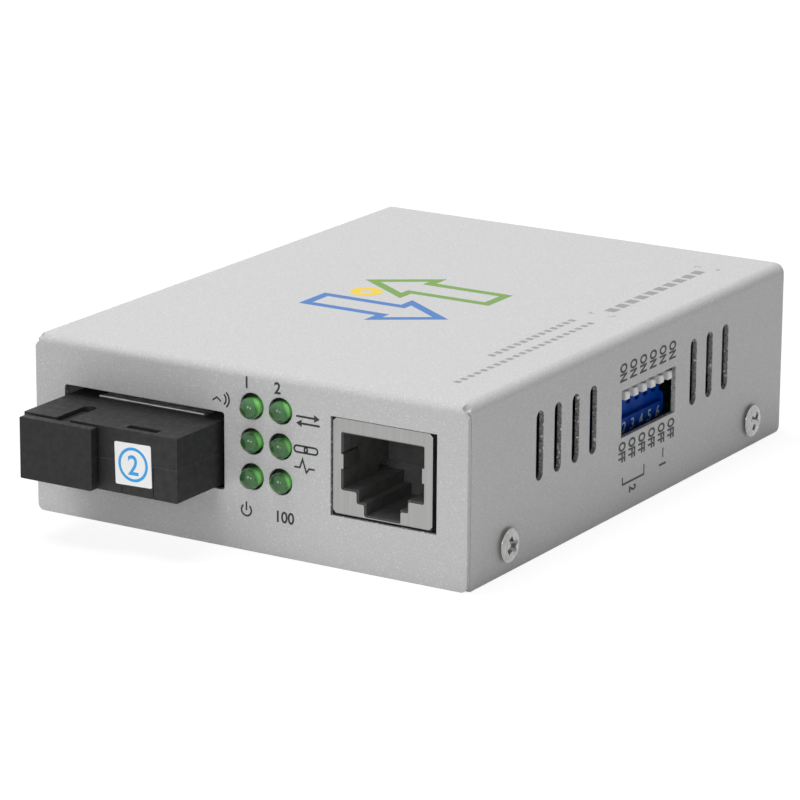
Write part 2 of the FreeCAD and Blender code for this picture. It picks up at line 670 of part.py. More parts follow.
def make_case_screws():
    screws = []
    for place in ("Front", "Rear"):
        y = f"front + caseScrew{place}"
        screws.append(screw(f"CaseScrewLeft{place}", "x", "-side", y, "caseScrewHeight", -1))
        screws.append(screw(f"CaseScrewRight{place}", "x", "side", y, "caseScrewHeight", 1))
    return keep("case_screws", group("CaseScrews", *screws))


def make_board_screws():
    screws = [screw(f"BoardScrew{name}", "z", x, y, "boardTop", 1) for name, x, y in board_screw_places()]
    return keep("board_screws", group("BoardScrews", *screws))


# ---------------------------------------------------------------- optical module

def optics_pin_places():
    for number in range(int(value("opticsPins"))):
        x = f"opticsCentre + ({number} - (opticsPins - 1) / 2) * pinPitch"
        yield str(number), x, "opticsFace + opticsLength - pinInset"


def optics_stud_places():
    for hand, sign in (("Left", "-"), ("Right", "+")):
        yield hand, f"opticsCentre {sign} (opticsWidth / 2 - studInset)", "opticsFace + studBack"


def port_tools(name):
    """What the fibre port takes from the module's housings."""
    port = block(name + "Port", "portCentre - portWidth / 2", "opticsFace - 1", "opticsSeam - portHeight / 2",
                 "portWidth", "portDepth + 1", "portHeight")
    sleeve = rod(name + "SleeveSeat", "y", "portCentre", "opticsFace + portDepth - 1", "opticsSeam",
                 "sleeveRadius", 3)
    return [port, sleeve]


def make_optics():
    """The transceiver: two black housings, a ferrule sleeve, pins and an earthing clip."""
    left = "opticsCentre - opticsWidth / 2"
    lower = block("OpticsLowerBlock", left, "opticsFace", "opticsBase", "opticsWidth", "opticsLength",
                  "opticsHeight / 2")
    feet = []
    inset = "opticsWidth / 2 - opticsFoot"
    for hand, x in (("Left", left), ("Right", f"opticsCentre + {inset}")):
        for place, y in (("Front", "flangeBack + boardFront + opticsFoot / 2"),
                         ("Rear", "opticsFace + opticsLength - 2 * opticsFoot - pinInset")):
            feet.append(block(f"OpticsFoot{hand}{place}", x, y, "boardTop", "opticsFoot", "opticsFoot", "opticsLift"))
    tongue = block("OpticsLatch", "latchCentre - latchWidth / 2 + latchGap", "opticsFace + latchBack + latchGap",
                   "opticsSeam", "latchWidth - 2 * latchGap", "latchDepth - 2 * latchGap",
                   "opticsHeight / 2 - latchSink")
    slits = []
    for hand, sign in (("Left", "-"), ("Right", "+")):
        slits.append(block(f"OpticsSlit{hand}", f"latchCentre {sign} latchWidth / 2 - latchGap / 2",
                           "opticsFace - latchGap", "opticsBase - 1", "latchGap", "3 * latchGap",
                           "opticsHeight / 2 + 1"))
    blank = fuse("OpticsLowerBlank", lower, tongue, *feet)
    keep("optics_lower_housing", cut("OpticsLower", blank, *port_tools("Lower"), *slits))

    upper = block("OpticsUpperBlock", left, "opticsFace", "opticsSeam", "opticsWidth", "opticsLength",
                  "opticsHeight / 2")
    window = block("OpticsLatchWindow", "latchCentre - latchWidth / 2", "opticsFace + latchBack", "opticsSeam - 1",
                   "latchWidth", "latchDepth", "opticsHeight")
    key_length = "keyLength - keyWidth / 2"
    slot = block("OpticsKeySlot", "portCentre - keyWidth / 2", "opticsFace - 1", "opticsSeam", "keyWidth",
                 f"1 + {key_length}", "opticsHeight")
    slot_end = rod("OpticsKeySlotEnd", "z", "portCentre", f"opticsFace + {key_length}", "opticsSeam",
                   "keyWidth / 2", "opticsHeight")
    keep("optics_upper_housing", cut("OpticsUpper", upper, *port_tools("Upper"), window, slot, slot_end))

    tube = rod("SleeveTube", "y", "portCentre", "opticsFace + portDepth - sleeveLength", "opticsSeam",
               "sleeveRadius", "sleeveLength + 2")
    bore = rod("SleeveBore", "y", "portCentre", "opticsFace + portDepth - sleeveLength - 1", "opticsSeam",
               "sleeveBore", "sleeveLength + 1")
    keep("ferrule_sleeve", cut("FerruleSleeve", tube, bore))

    pins = [block(f"OpticsPin{n}", f"{x} - pinSide / 2", f"{y} - pinSide / 2", "leadEnd", "pinSide", "pinSide",
                  "leadReach + opticsLift") for n, x, y in optics_pin_places()]
    studs = [rod(f"OpticsStud{n}", "z", x, y, "leadEnd", "studRadius", "leadReach + opticsLift")
             for n, x, y in optics_stud_places()]
    keep("optics_pins", group("OpticsPins", *pins, *studs))

    start = "flangeBack + clipBack"
    level = "opticsTop + clipSheet / 2"
    line = [(f"{start} - clipSheet", f"{level} + clipSheet"), (start, level),
            (f"{start} + clipLength", level)]
    keep("earthing_clip", strip("EarthingClip", line, "clipSheet", "clipWidth", "clipCentre"))


def make_dust_plug():
    """A plate with a hollow stem that closes the fibre port."""
    plate_back = "opticsFace - plugStand"
    plate = block("PlugPlate", "portCentre - plugWidth / 2", f"{plate_back} - plugPlate",
                  "opticsSeam - plugHeight / 2", "plugWidth", "plugPlate", "plugHeight")
    length = "plugStem + plugStand"
    stem = block("PlugStem", "portCentre - portWidth / 2 + plugGap", plate_back,
                 "opticsSeam - portHeight / 2 + plugGap", "portWidth - 2 * plugGap", length,
                 "portHeight - 2 * plugGap")
    key_height = "opticsTop - opticsSeam - plugKeyDrop"
    key = block("PlugKey", "portCentre - keyWidth / 2 + plugGap", plate_back, "opticsSeam",
                "keyWidth - 2 * plugGap", "plugStand + keyLength - keyWidth / 2 - plugGap", key_height)
    radius = "sleeveRadius + plugBoreGap"
    bore_length = "sleeveLength - (portDepth - plugStem) + plugBoreGap"
    bore = rod("PlugBore", "y", "portCentre", f"{plate_back} + {length} - ({bore_length})", "opticsSeam",
               radius, f"{bore_length} + 1")
    blank = fuse("PlugBlank", plate, stem, key)
    hollow = cut("PlugHollow", blank, bore)

    def plate_corner(edge):
        middle = edge.CenterOfMass
        on_plate = middle.y < value(plate_back)
        return on_plate and along(edge, Y)

    return keep("dust_plug", rounded("DustPlug", hollow, "plugCorner", plate_corner))


# ---------------------------------------------------------------- network socket

def make_jack():
    """Tinned shield, black insert and eight contacts."""
    left = "jackCentre - jackWidth / 2"
    outer = block("ShieldBlock", left, "jackFace", "jackBase", "jackWidth", "jackDepth", "jackHeight")

    def corner(edge):
        return along(edge, Y)

    bevelled = bevelled_edges("ShieldBevels", outer, "jackBevel", corner)
    hollow = block("ShieldHollow", f"{left} + jackSheet", "jackFace + jackSheet", "jackBase - 1",
                   "jackWidth - 2 * jackSheet", "jackDepth", "jackHeight - jackSheet + 1")
    opening = prism("ShieldOpening", "xz", socket_outline("0"), "jackFace - 1", "jackSheet + 2")
    eased = rounded("ShieldOpeningEased", opening, "socketRound", corner)
    walls = cut("ShieldWalls", bevelled, hollow, eased)
    tab_low = "jackTop - socketTop - tabDrop - tabHeight"
    tabs = []
    for hand, sign in (("Left", -1), ("Right", 1)):
        edge = f"jackCentre + {sign} * socketWidth / 2"
        inner = f"{edge} - {sign} * tabBend"
        sheet_side = f"{edge} + {sign} * jackSheet"
        points = [(sheet_side, "jackFace"), (inner, "jackFace"), (inner, "jackFace + jackSheet"),
                  (f"{inner} - {sign} * tabBend", "jackFace + tabLength - jackSheet"),
                  (f"{inner} - {sign} * tabBend", "jackFace + tabLength"),
                  (f"{edge}", "jackFace + tabLength"), (sheet_side, "jackFace + jackSheet")]
        tabs.append(prism(f"ShieldTab{hand}", "xy", points, tab_low, "tabHeight"))
    keep("jack_shield", fuse("JackShield", walls, *tabs))

    body = block("InsertBlock", f"{left} + jackSheet", "jackFace + jackSheet", "boardTop",
                 "jackWidth - 2 * jackSheet", "jackDepth - 2 * jackSheet",
                 "jackLift + jackHeight - jackSheet - 2 * contactThick - jackSheet")
    space = prism("InsertSpace", "xz", socket_outline("-socketRim"), "jackFace", "socketDepth")
    comb_width = "contactCount * contactPitch + contactWidth"
    comb = block("InsertComb", f"jackCentre - ({comb_width}) / 2", "jackFace + combBack",
                 "jackTop - socketTop - socketRim - combDrop", comb_width, "combDepth",
                 "socketTop + socketRim + 2 * combDrop")
    pockets = [block(f"InsertPocket{hand}", f"jackCentre {sign} socketWidth / 2 - tabBend - jackSheet", "jackFace",
                     f"{tab_low} - tabGap", "2 * (tabBend + jackSheet)", "tabLength + 2 * tabGap",
                     "tabHeight + 2 * tabGap") for hand, sign in (("Left", "-"), ("Right", "+"))]
    port = block("InsertPort", left, "jackFace + wallPortBack", "jackTop - socketTop - socketHeight + wallPortLift",
                 "jackWidth / 2", "wallPortLength", "wallPortHeight")
    posts = [rod(f"InsertPost{hand}", "z", f"jackCentre {sign} jackWidth / 4", "jackFace + jackDepth / 2",
                 "leadEnd", "studRadius", "leadReach") for hand, sign in (("Left", "-"), ("Right", "+"))]
    keep("jack_insert", fuse("JackInsert", cut("InsertCut", body, space, comb, port, *pockets), *posts))

    roof = "jackTop - jackSheet - contactThick"
    tail = "jackFace + jackDepth - jackSheet + contactThick / 2"
    line = [(tail, "leadEnd"), (tail, roof), ("jackFace + contactFront", roof),
            ("jackFace + contactFront", "jackTop - socketTop - contactEntry"),
            ("jackFace + contactReach", "jackTop - socketTop - contactDip")]
    contacts = []
    for number in range(int(value("contactCount"))):
        x = f"jackCentre + ({number} - (contactCount - 1) / 2) * contactPitch"
        contacts.append(strip(f"Contact{number}", line, "contactThick", "contactWidth", x))
    keep("jack_contacts", group("JackContacts", *contacts))


# ---------------------------------------------------------------- lamps

LAMP_SEATS = {
    "Left2": ("0.03", "0.3", "-0.19"),
    "Right2": ("0.02", "0", "-0.06"),
    "Left1": ("0.02", "0.1", "0"),
    "Right1": ("0.09", "-0.1", "-0.16"),
    "Left0": ("0.04", "0.35", "-0.13"),
    "Right0": ("0.1", "0", "-0.1"),
}


def make_lamps():
    """Six round lamps in one black holder behind the front flange."""
    face = "flangeBack + holderBack"
    left = "lampLeft - holderMargin"
    block_item = block("HolderBlock", left, face, "boardTop", "lampRight - lampLeft + 2 * holderMargin",
                       "holderDepth", "lampBase + 2 * lampPitch + holderMargin - boardTop")
    holes = []
    for number, (name, x, z) in enumerate(lamp_places(), start=1):
        aside, forward, lift = LAMP_SEATS[name]
        centre_x, centre_z = f"{x} + {aside}", f"{z} + {lift}"
        centre_y = f"front - lampDome - {forward}"
        end = f"{face} + lampHold"
        holes.append(rod(f"LampSeat{name}", "y", centre_x, f"{face} - 1", centre_z, "lampRadius", "lampHold + 1"))
        barrel = rod(f"LampBarrel{name}", "y", centre_x, centre_y, centre_z, "lampRadius", f"{end} - ({centre_y})")
        dome = ball(f"LampDome{name}", centre_x, centre_y, centre_z, "lampRadius")
        keep(f"lamp_{number}", fuse(f"Lamp{name}", barrel, dome))
    keep("lamp_holder", cut("LampHolder", block_item, *holes))
    pins = []
    for name, x, y in lamp_pin_places():
        pins.append(block(f"LampPin{name}", f"{x} - pinSide / 2", f"{y} - pinSide / 2", "leadEnd", "pinSide",
                          "pinSide", "leadReach"))
    keep("lamp_pins", group("LampPins", *pins))


def lamp_pin_places():
    """Two pins for each lamp, in three rows under the holder."""
    for level in range(3):
        for hand, x in (("Left", "lampLeft"), ("Right", "lampRight")):
            for end, sign in (("A", "-"), ("B", "+")):
                y = f"flangeBack + holderBack + holderDepth * ({level} + 0.5) / 3"
                yield f"{hand}{level}{end}", f"{x} {sign} pinPitch / 2", y


# ---------------------------------------------------------------- switch

def slider_places():
    for number in range(int(value("switchCount"))):
        yield number + 1, f"switchMid + ({number} - (switchCount - 1) / 2) * switchPitch"


def make_switch():
    """Blue body with a trough, and sliders that stand out through the cover's window."""
    low = "switchMiddle - switchHeight / 2"
    high = "switchMiddle + switchHeight / 2"
    trough_low = "switchMiddle - troughHeight / 2"
    shoulder = "switchMiddle - (sliderTravel + sliderHeight) / 2 - switchShoulder"
    step = "switchFace - troughDepth"
    section = [("switchBack", low), ("switchFace", low), ("switchFace", shoulder), (step, shoulder), (step, high),
               ("switchBack", high)]
    body = prism("SwitchBlock", "xz", section, "switchMid - switchHalf", "2 * switchHalf")


    def front_edge(level):
        def chosen(edge):
            middle = edge.CenterOfMass
            return along(edge, Y) and near(middle.x, "switchFace") and near(middle.z, level)

        return chosen

    def end_edge(edge):
        middle = edge.CenterOfMass
        at_end = near(middle.y, "switchMid - switchHalf") or near(middle.y, "switchMid + switchHalf")
        return at_end and near(middle.x, "switchFace")

    lowered = rounded("SwitchLowered", body, "switchLowerRound", front_edge(low))
    shouldered = rounded("SwitchShouldered", lowered, "switchUpperRound", front_edge(shoulder))
    eased = rounded("SwitchEased", shouldered, "switchEndRound", end_edge)
    trough = block("SwitchTrough", "switchFace - troughDepth", "switchMid - switchHalf + troughEnd", trough_low,
                   "troughDepth + 1", "2 * (switchHalf - troughEnd)", "troughHeight")
    slots = []
    root = "switchFace - troughDepth - sliderRoot"
    for number, y in slider_places():
        slots.append(block(f"SwitchSlot{number}", f"{root} - sliderGap", f"{y} - sliderWidth / 2 - sliderGap",
                           "switchMiddle - (sliderTravel + sliderHeight) / 2 - sliderGap",
                           "sliderRoot + troughDepth + sliderGap", "sliderWidth + 2 * sliderGap",
                           "sliderTravel + sliderHeight + 2 * sliderGap"))
        post = block(f"SliderPost{number}", root, f"{y} - sliderWidth / 2",
                     "switchMiddle + (sliderTravel - sliderHeight) / 2",
                     "side + sliderProud - (" + root + ")", "sliderWidth", "sliderHeight")

        def tip(edge):
            return near(edge.CenterOfMass.x, "side + sliderProud")

        keep(f"switch_slider_{number}", rounded(f"Slider{number}", post, "sliderRound", tip))
    keep("switch_body", cut("SwitchBody", eased, trough, *slots))

    leads = []
    half = "switchLeadHalf"
    for row, sign in (("Low", "-"), ("High", "+")):
        level, inner = f"switchMiddle {sign} switchRow / 2", f"switchBack - switchLead{row}"
        for number, y in slider_places():
            points = [("switchBack", f"{level} - {half}"), ("switchBack", f"{level} + {half}"),
                      (f"{inner} - {half}", f"{level} + {half}"), (f"{inner} - {half}", "leadEnd"),
                      (f"{inner} + {half}", "leadEnd"), (f"{inner} + {half}", f"{level} - {half}")]
            leads.append(prism(f"SwitchLead{row}{number}", "xz", points, f"{y} - pinSide / 2", "pinSide"))
    keep("switch_leads", group("SwitchLeads", *leads))


# ---------------------------------------------------------------- power socket

def make_power():
    """Barrel socket in the rear panel with its centre pin and side spring."""
    body = block("PowerBlock", "powerCentre - powerWidth / 2", "powerInner", "boardTop", "powerWidth",
                 "powerDepth", "powerHeight")
    bore = rod("PowerBore", "y", "powerCentre", "rear - powerBoreDepth", "powerLevel", "powerBore",
               "powerBoreDepth + 1")
    seat = rod("PowerPinSeat", "y", "powerCentre", "powerInner", "powerLevel", "powerPinRoot", "powerDepth")
    notch = block("PowerSpringSlot", "powerCentre - powerSlot / 2", "powerInner + powerSlotInset", "boardTop - 1",
                  "powerSlot", "powerDepth - powerBoreDepth", "powerAxis")

    def upper_edge(edge):
        middle = edge.CenterOfMass
        return along(edge, Y) and near(middle.z, "boardTop + powerHeight")

    shaped = rounded("PowerShaped", body, "powerWidth / 4", upper_edge)
    keep("power_socket", cut("PowerSocket", shaped, bore, seat, notch))
    pin = rod("PowerPinRod", "y", "powerCentre", "powerInner", "powerLevel", "powerPin",
              "powerDepth - powerPinSink")

    def tip(edge):
        return edge.Curve.TypeId == "Part::GeomCircle" and near(edge.CenterOfMass.y, "rear - powerPinSink")

    pin_tip = rounded("PowerPinTip", pin, "powerPin * 0.5", tip)
    root = rod("PowerPinRoot", "y", "powerCentre", "powerInner", "powerLevel", "powerPinRoot",
               "powerDepth - powerBoreDepth")
    keep("power_pin", fuse("PowerPin", pin_tip, root))


# ---------------------------------------------------------------- board and its parts

def chip(node, kind):
    """A moulded package with gull-wing leads on its two long sides."""
    x, y, width, depth, height, pitch = (kind + word for word in ("X", "Y", "Width", "Depth", "Height", "Pitch"))
    body = block(node + "Body", f"{x} - {width} / 2", f"{y} - {depth} / 2", "boardTop + chipLift", width, depth,
                 height)
    keep(node, body)
    legs = []
    for side, sign in (("Near", "-"), ("Far", "+")):
        for number in range(int(value(kind + "Leads"))):
            place = f"{x} + ({number} - ({kind}Leads - 1) / 2) * {pitch}"
            root = f"{y} {sign} {depth} / 2"
            exit_level, foot_level = f"boardTop + chipLift + {height} / 2", "boardTop + chipLead / 2"
            line = [(root, exit_level), (f"{root} {sign} chipShoulder", exit_level),
                    (f"{root} {sign} (chipShoulder + chipLead)", foot_level),
                    (f"{root} {sign} (chipShoulder + chipLead + chipFoot)", foot_level)]
            legs.append(strip(f"{node}Leg{side}{number}", line, "chipLead", f"{pitch} * chipLeadShare", place))
    return keep(node + "_leads", group(node + "Legs", *legs))


def can(name, x):
    """An upright electrolytic capacitor with its crimp and rolled rim."""
    body = rod(name + "Can", "z", x, "canY", "boardTop", "canRadius", "canHeight")
    ring = rod(name + "Ring", "z", x, "canY", "boardTop + crimpHeight", "canRadius + crimpDepth", "2 * crimpDepth")
    core = rod(name + "Core", "z", x, "canY", "boardTop", "canRadius - crimpDepth", "canHeight")
    crimped = cut(name + "Crimped", body, cut(name + "Groove", ring, core))

    def rim(edge):
        return edge.Curve.TypeId == "Part::GeomCircle" and near(edge.CenterOfMass.z, "boardTop + canHeight")

    return rounded(name + "Rim", crimped, "canRim", rim)


SMALL_ROWS = (("smallLeft", "smallFirst", 5), ("smallLeft", "smallSecond", 5), ("smallRight", "smallFront", 4),
              ("smallMiddle", "smallBack", 6))


def make_board_parts():
    chip("converter_chip", "converter")
    chip("line_transformer", "transformer")
    chip("regulator", "regulator")

    crystal = block("CrystalBlock", "crystalX - crystalLength / 2", "crystalY - crystalWidth / 2", "boardTop",
                    "crystalLength", "crystalWidth", "crystalHeight")
    keep("crystal", rounded("Crystal", crystal, "crystalWidth * 0.49", lambda edge: along(edge, Z)))
    keep("capacitors", group("Capacitors", can("CapacitorLeft", "canLeft"), can("CapacitorRight", "canRight")))
    coil_base = block("CoilBase", "coilX - coilBase / 2", "coilY - coilBase / 2", "boardTop", "coilBase", "coilBase",
                      "coilBaseHeight")
    coil_drum = rod("CoilDrum", "z", "coilX", "coilY", "boardTop + coilBaseHeight", "coilRadius", "coilHeight")
    keep("power_coil", fuse("PowerCoil", coil_base, coil_drum))
    small = []
    for row, (x, y, count) in enumerate(SMALL_ROWS):
        for number in range(count):
            small.append(block(f"SmallPart{row}_{number}", f"{x} + {number} * smallPitch", y, "boardTop",
                               "smallLength", "smallWidth", "smallHeight"))
    keep("small_components", group("SmallComponents", *small))


def make_board():
    """The circuit board, with a hole for everything that passes through it."""
    half = "trayHalf - traySheet - boardEdge"
    start, end = "flangeBack + boardFront", "rear - traySheet - boardRear"
    blank = block("BoardBlank", f"-({half})", start, "boardBase", f"2 * ({half})", f"{end} - ({start})", "boardThick")
    base, height = "boardBase - 1", "boardThick + 2"
    holes = []
    for name, x, y in board_screw_places():
        holes.append(rod(f"BoardHole{name}", "z", x, y, base, "screwRadius + holeGap", height))

    def square(name, x, y, width, depth):
        holes.append(block(name, f"{x} - {width} / 2 - leadGap", f"{y} - {depth} / 2 - leadGap", base,
                           f"{width} + 2 * leadGap", f"{depth} + 2 * leadGap", height))

    for name, x, y in optics_pin_places():
        square(f"BoardOptics{name}", x, y, "pinSide", "pinSide")
    for name, x, y in optics_stud_places():
        holes.append(rod(f"BoardStud{name}", "z", x, y, base, "studRadius + leadGap", height))
    for hand, sign in (("Left", "-"), ("Right", "+")):
        holes.append(rod(f"BoardPost{hand}", "z", f"jackCentre {sign} jackWidth / 4", "jackFace + jackDepth / 2",
                         base, "studRadius + leadGap", height))
    for number in range(int(value("contactCount"))):
        x = f"jackCentre + ({number} - (contactCount - 1) / 2) * contactPitch"
        square(f"BoardContact{number}", x, "jackFace + jackDepth - jackSheet + contactThick / 2",
               "contactWidth", "contactThick")
    for name, x, y in lamp_pin_places():
        square(f"BoardLamp{name}", x, y, "pinSide", "pinSide")
    for row in ("Low", "High"):
        for number, y in slider_places():
            square(f"BoardSwitch{row}{number}", f"switchBack - switchLead{row}", y, "2 * switchLeadHalf", "pinSide")
    return keep("circuit_board", cut("CircuitBoard", blank, *holes))


make_cover()
make_tray()
make_standoffs()
make_case_screws()
make_board_screws()
make_board()
make_optics()
make_dust_plug()
make_jack()
make_lamps()
make_switch()
make_power()
make_board_parts()

doc.recompute()
for item in doc.Objects:
    if "Invalid" in item.State or "Error" in item.State:
        raise RuntimeError(f"{item.Label} did not build: {item.State}")
for node, item in nodes.items():
    if item.Shape.isNull() or not item.Shape.isValid():
        raise RuntimeError(f"{node} has no valid shape")

os.makedirs("parts", exist_ok=True)
for node, item in nodes.items():
    item.Shape.exportStep(f"parts/{node}.step")
    print(f"{node}: {len(item.Shape.Solids)} solid(s), {item.Shape.Volume:.1f} mm3")
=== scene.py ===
import bpy
import bmesh
import math
from mathutils import Matrix, Vector


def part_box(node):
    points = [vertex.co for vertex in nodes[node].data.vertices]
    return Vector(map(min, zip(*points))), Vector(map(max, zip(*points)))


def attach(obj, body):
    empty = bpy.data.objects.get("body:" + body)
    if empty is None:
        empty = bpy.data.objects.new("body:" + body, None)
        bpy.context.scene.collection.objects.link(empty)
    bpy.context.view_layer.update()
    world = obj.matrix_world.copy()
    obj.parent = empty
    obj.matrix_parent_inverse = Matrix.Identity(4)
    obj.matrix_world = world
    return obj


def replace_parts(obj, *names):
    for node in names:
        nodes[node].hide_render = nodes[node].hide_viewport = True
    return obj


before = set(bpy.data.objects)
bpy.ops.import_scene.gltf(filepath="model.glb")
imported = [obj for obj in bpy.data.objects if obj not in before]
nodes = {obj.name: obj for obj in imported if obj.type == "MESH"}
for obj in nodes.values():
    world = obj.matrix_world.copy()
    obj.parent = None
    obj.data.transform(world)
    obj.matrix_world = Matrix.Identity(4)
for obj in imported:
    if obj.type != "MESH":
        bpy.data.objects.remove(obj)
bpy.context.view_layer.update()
mm = 0.001
caseLow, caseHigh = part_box("cover")
front, side, top = caseLow.y, caseHigh.x, caseHigh.z
leverNames = [name for name in nodes if name.startswith("switch_slider_")]
lampNames = [name for name in nodes if name.startswith("lamp_") and name[-1].isdigit()]
print("frame loaded")


# Node building

def addNode(tree, kind, inputs=None, **settings):
    made = tree.nodes.new(kind)
    for name, setting in settings.items():
        setattr(made, name, setting)
    for name, source in (inputs or {}).items():
        if isinstance(source, bpy.types.NodeSocket):
            tree.links.new(source, made.inputs[name])
        else:
            made.inputs[name].default_value = source
    return made


def calculate(tree, operation, first, second=0.0):
    return addNode(tree, "ShaderNodeMath", {0: first, 1: second}, operation=operation).outputs[0]


def multiply(tree, first, second):
    return calculate(tree, "MULTIPLY", first, second)


def blendColours(tree, factor, first, second):
    made = addNode(tree, "ShaderNodeMix", {0: factor, 6: first, 7: second}, data_type="RGBA")
    return made.outputs[2]


def spread(tree, source, low, high, newLow=0.0, newHigh=1.0):
    made = addNode(tree, "ShaderNodeMapRange", {
        "Value": source, "From Min": low, "From Max": high, "To Min": newLow, "To Max": newHigh})
    return made.outputs[0]


def between(tree, source, low, high):
    above = calculate(tree, "GREATER_THAN", source, low)
    return multiply(tree, above, calculate(tree, "LESS_THAN", source, high))


def place(tree):
    return addNode(tree, "ShaderNodeTexCoord").outputs["Object"]


def facing(tree):
    return addNode(tree, "ShaderNodeNewGeometry").outputs["Normal"]


def separate(tree, vector):
    return addNode(tree, "ShaderNodeSeparateXYZ", {0: vector}).outputs


def alignment(tree, first, second):
    made = addNode(tree, "ShaderNodeVectorMath", {0: first, 1: second}, operation="DOT_PRODUCT")
    return made.outputs["Value"]


def noise(tree, vector, scale, detail=2.0, roughness=0.5):
    made = addNode(tree, "ShaderNodeTexNoise", {
        "Vector": vector, "Scale": scale, "Detail": detail, "Roughness": roughness})
    return made.outputs["Fac"]


def makeGroup(name, inputs, outputs, fill):
    tree = bpy.data.node_groups.new(name, "ShaderNodeTree")
    for label, default in inputs.items():
        socket = tree.interface.new_socket(name=label, in_out="INPUT", socket_type="NodeSocketFloat")
        socket.default_value = default
    for label, kind in outputs.items():
        tree.interface.new_socket(name=label, in_out="OUTPUT", socket_type=kind)
    entry = tree.nodes.new("NodeGroupInput").outputs
    leave = tree.nodes.new("NodeGroupOutput").inputs
    for label, source in fill(tree, entry).items():
        tree.links.new(source, leave[label])
    return tree


def useGroup(tree, group, **inputs):
    return addNode(tree, "ShaderNodeGroup", inputs, node_tree=group).outputs


# Effects that several materials share

grainLook = {
    "detail": 3.0, "roughness": 0.65, "cloudScale": 0.12,
    "fleck": (0.3, 0.7), "cloud": (0.35, 0.65), "paintedGlint": (0.9, 1.0),
}


# The flake mask marks sparse bright flecks, which the case paint uses as painted glints
def fillGrain(tree, entry):
    where = place(tree)
    fine = noise(tree, where, entry["Scale"], grainLook["detail"], grainLook["roughness"])
    coarse = noise(tree, where, multiply(tree, entry["Scale"], grainLook["cloudScale"]))
    flakes = addNode(tree, "ShaderNodeTexVoronoi", {"Vector": where, "Scale": entry["Scale"]})
    flake = addNode(tree, "ShaderNodeSeparateColor", {0: flakes.outputs["Color"]}).outputs[0]
    return {
        "Fleck": spread(tree, fine, *grainLook["fleck"]),
        "Cloud": spread(tree, coarse, *grainLook["cloud"]),
        "PaintedGlint": spread(tree, flake, *grainLook["paintedGlint"]),
        "Height": fine,
    }


grain = makeGroup("grain", {"Scale": 4000.0}, {
    "Fleck": "NodeSocketFloat", "Cloud": "NodeSocketFloat", "PaintedGlint": "NodeSocketFloat",
    "Height": "NodeSocketFloat"}, fillGrain)

# Edge mask: lighter colour along edges, broken up by noise; partly wear and partly painted highlight
edgeLook = {"samples": 6, "bend": (0.985, 0.8), "edgeBreakupDetail": 3.0, "edgeBreakup": (0.35, 0.6)}


def fillEdges(tree, entry):
    bevel = addNode(tree, "ShaderNodeBevel", {"Radius": entry["Radius"]}, samples=edgeLook["samples"])
    bend = spread(tree, alignment(tree, bevel.outputs[0], facing(tree)), *edgeLook["bend"])
    edgeBreakup = noise(tree, place(tree), entry["Break"], edgeLook["edgeBreakupDetail"])
    return {
        "Edge": multiply(tree, bend, spread(tree, edgeBreakup, *edgeLook["edgeBreakup"])),
        "Normal": bevel.outputs[0],
    }


edges = makeGroup("edges", {"Radius": 0.15 * mm, "Break": 900.0},
                  {"Edge": "NodeSocketFloat", "Normal": "NodeSocketVector"}, fillEdges)

streakLook = {
    "stretch": (1.0, 1.0, 0.04), "detail": 4.0, "roughness": 0.6, "line": (0.3, 0.7),
    "stainScale": 260.0, "stainDetail": 3.0, "stain": (0.35, 0.7),
}


def fillStreaks(tree, entry):
    where = place(tree)
    stretched = addNode(tree, "ShaderNodeMapping", {"Vector": where, "Scale": streakLook["stretch"]})
    fine = noise(tree, stretched.outputs[0], entry["Scale"], streakLook["detail"], streakLook["roughness"])
    stains = noise(tree, where, streakLook["stainScale"], streakLook["stainDetail"])
    return {
        "Streak": spread(tree, fine, *streakLook["line"]),
        "Stain": spread(tree, stains, *streakLook["stain"]),
    }


streaks = makeGroup("streaks", {"Scale": 6000.0}, {
    "Streak": "NodeSocketFloat", "Stain": "NodeSocketFloat"}, fillStreaks)
print("shared effects made")


# Materials

def newMaterial(name, **constants):
    material = bpy.data.materials.new(name)
    material.use_nodes = True
    tree = material.node_tree
    shader = tree.nodes["Principled BSDF"]
    for label, setting in constants.items():
        shader.inputs[label.replace("_", " ")].default_value = setting
    return material, tree, shader


def connect(tree, shader, **sources):
    for label, source in sources.items():
        tree.links.new(source, shader.inputs[label.replace("_", " ")])


def bumped(tree, height, strength, distance, normal=None):
    inputs = {"Height": height, "Strength": strength, "Distance": distance}
    if normal is not None:
        inputs["Normal"] = normal
    return addNode(tree, "ShaderNodeBump", inputs).outputs[0]


# Case paint with painted glints. Where the sheet is cut: bare speckled metal, dark partly as painted shade,
# and painted light on the switch window's front-facing rear jamb

cutAreas = {  # in mm, apart from how far a face has to be turned
    "depth": 1.05, "turned": 0.5,
    "sideInset": 5.0, "sideLevels": (3.0, 23.0),  # slots and window of the sides
    "frontProud": 1.0, "frontInset": 2.0, "frontLevels": (2.0, 24.0),  # openings of the front
    # The jamb's front-facing cut edge gets painted light: a lighter copy of the cut colour
    "jamb": (58.0, 59.5),  # rear end of the switch window, which catches the light
}


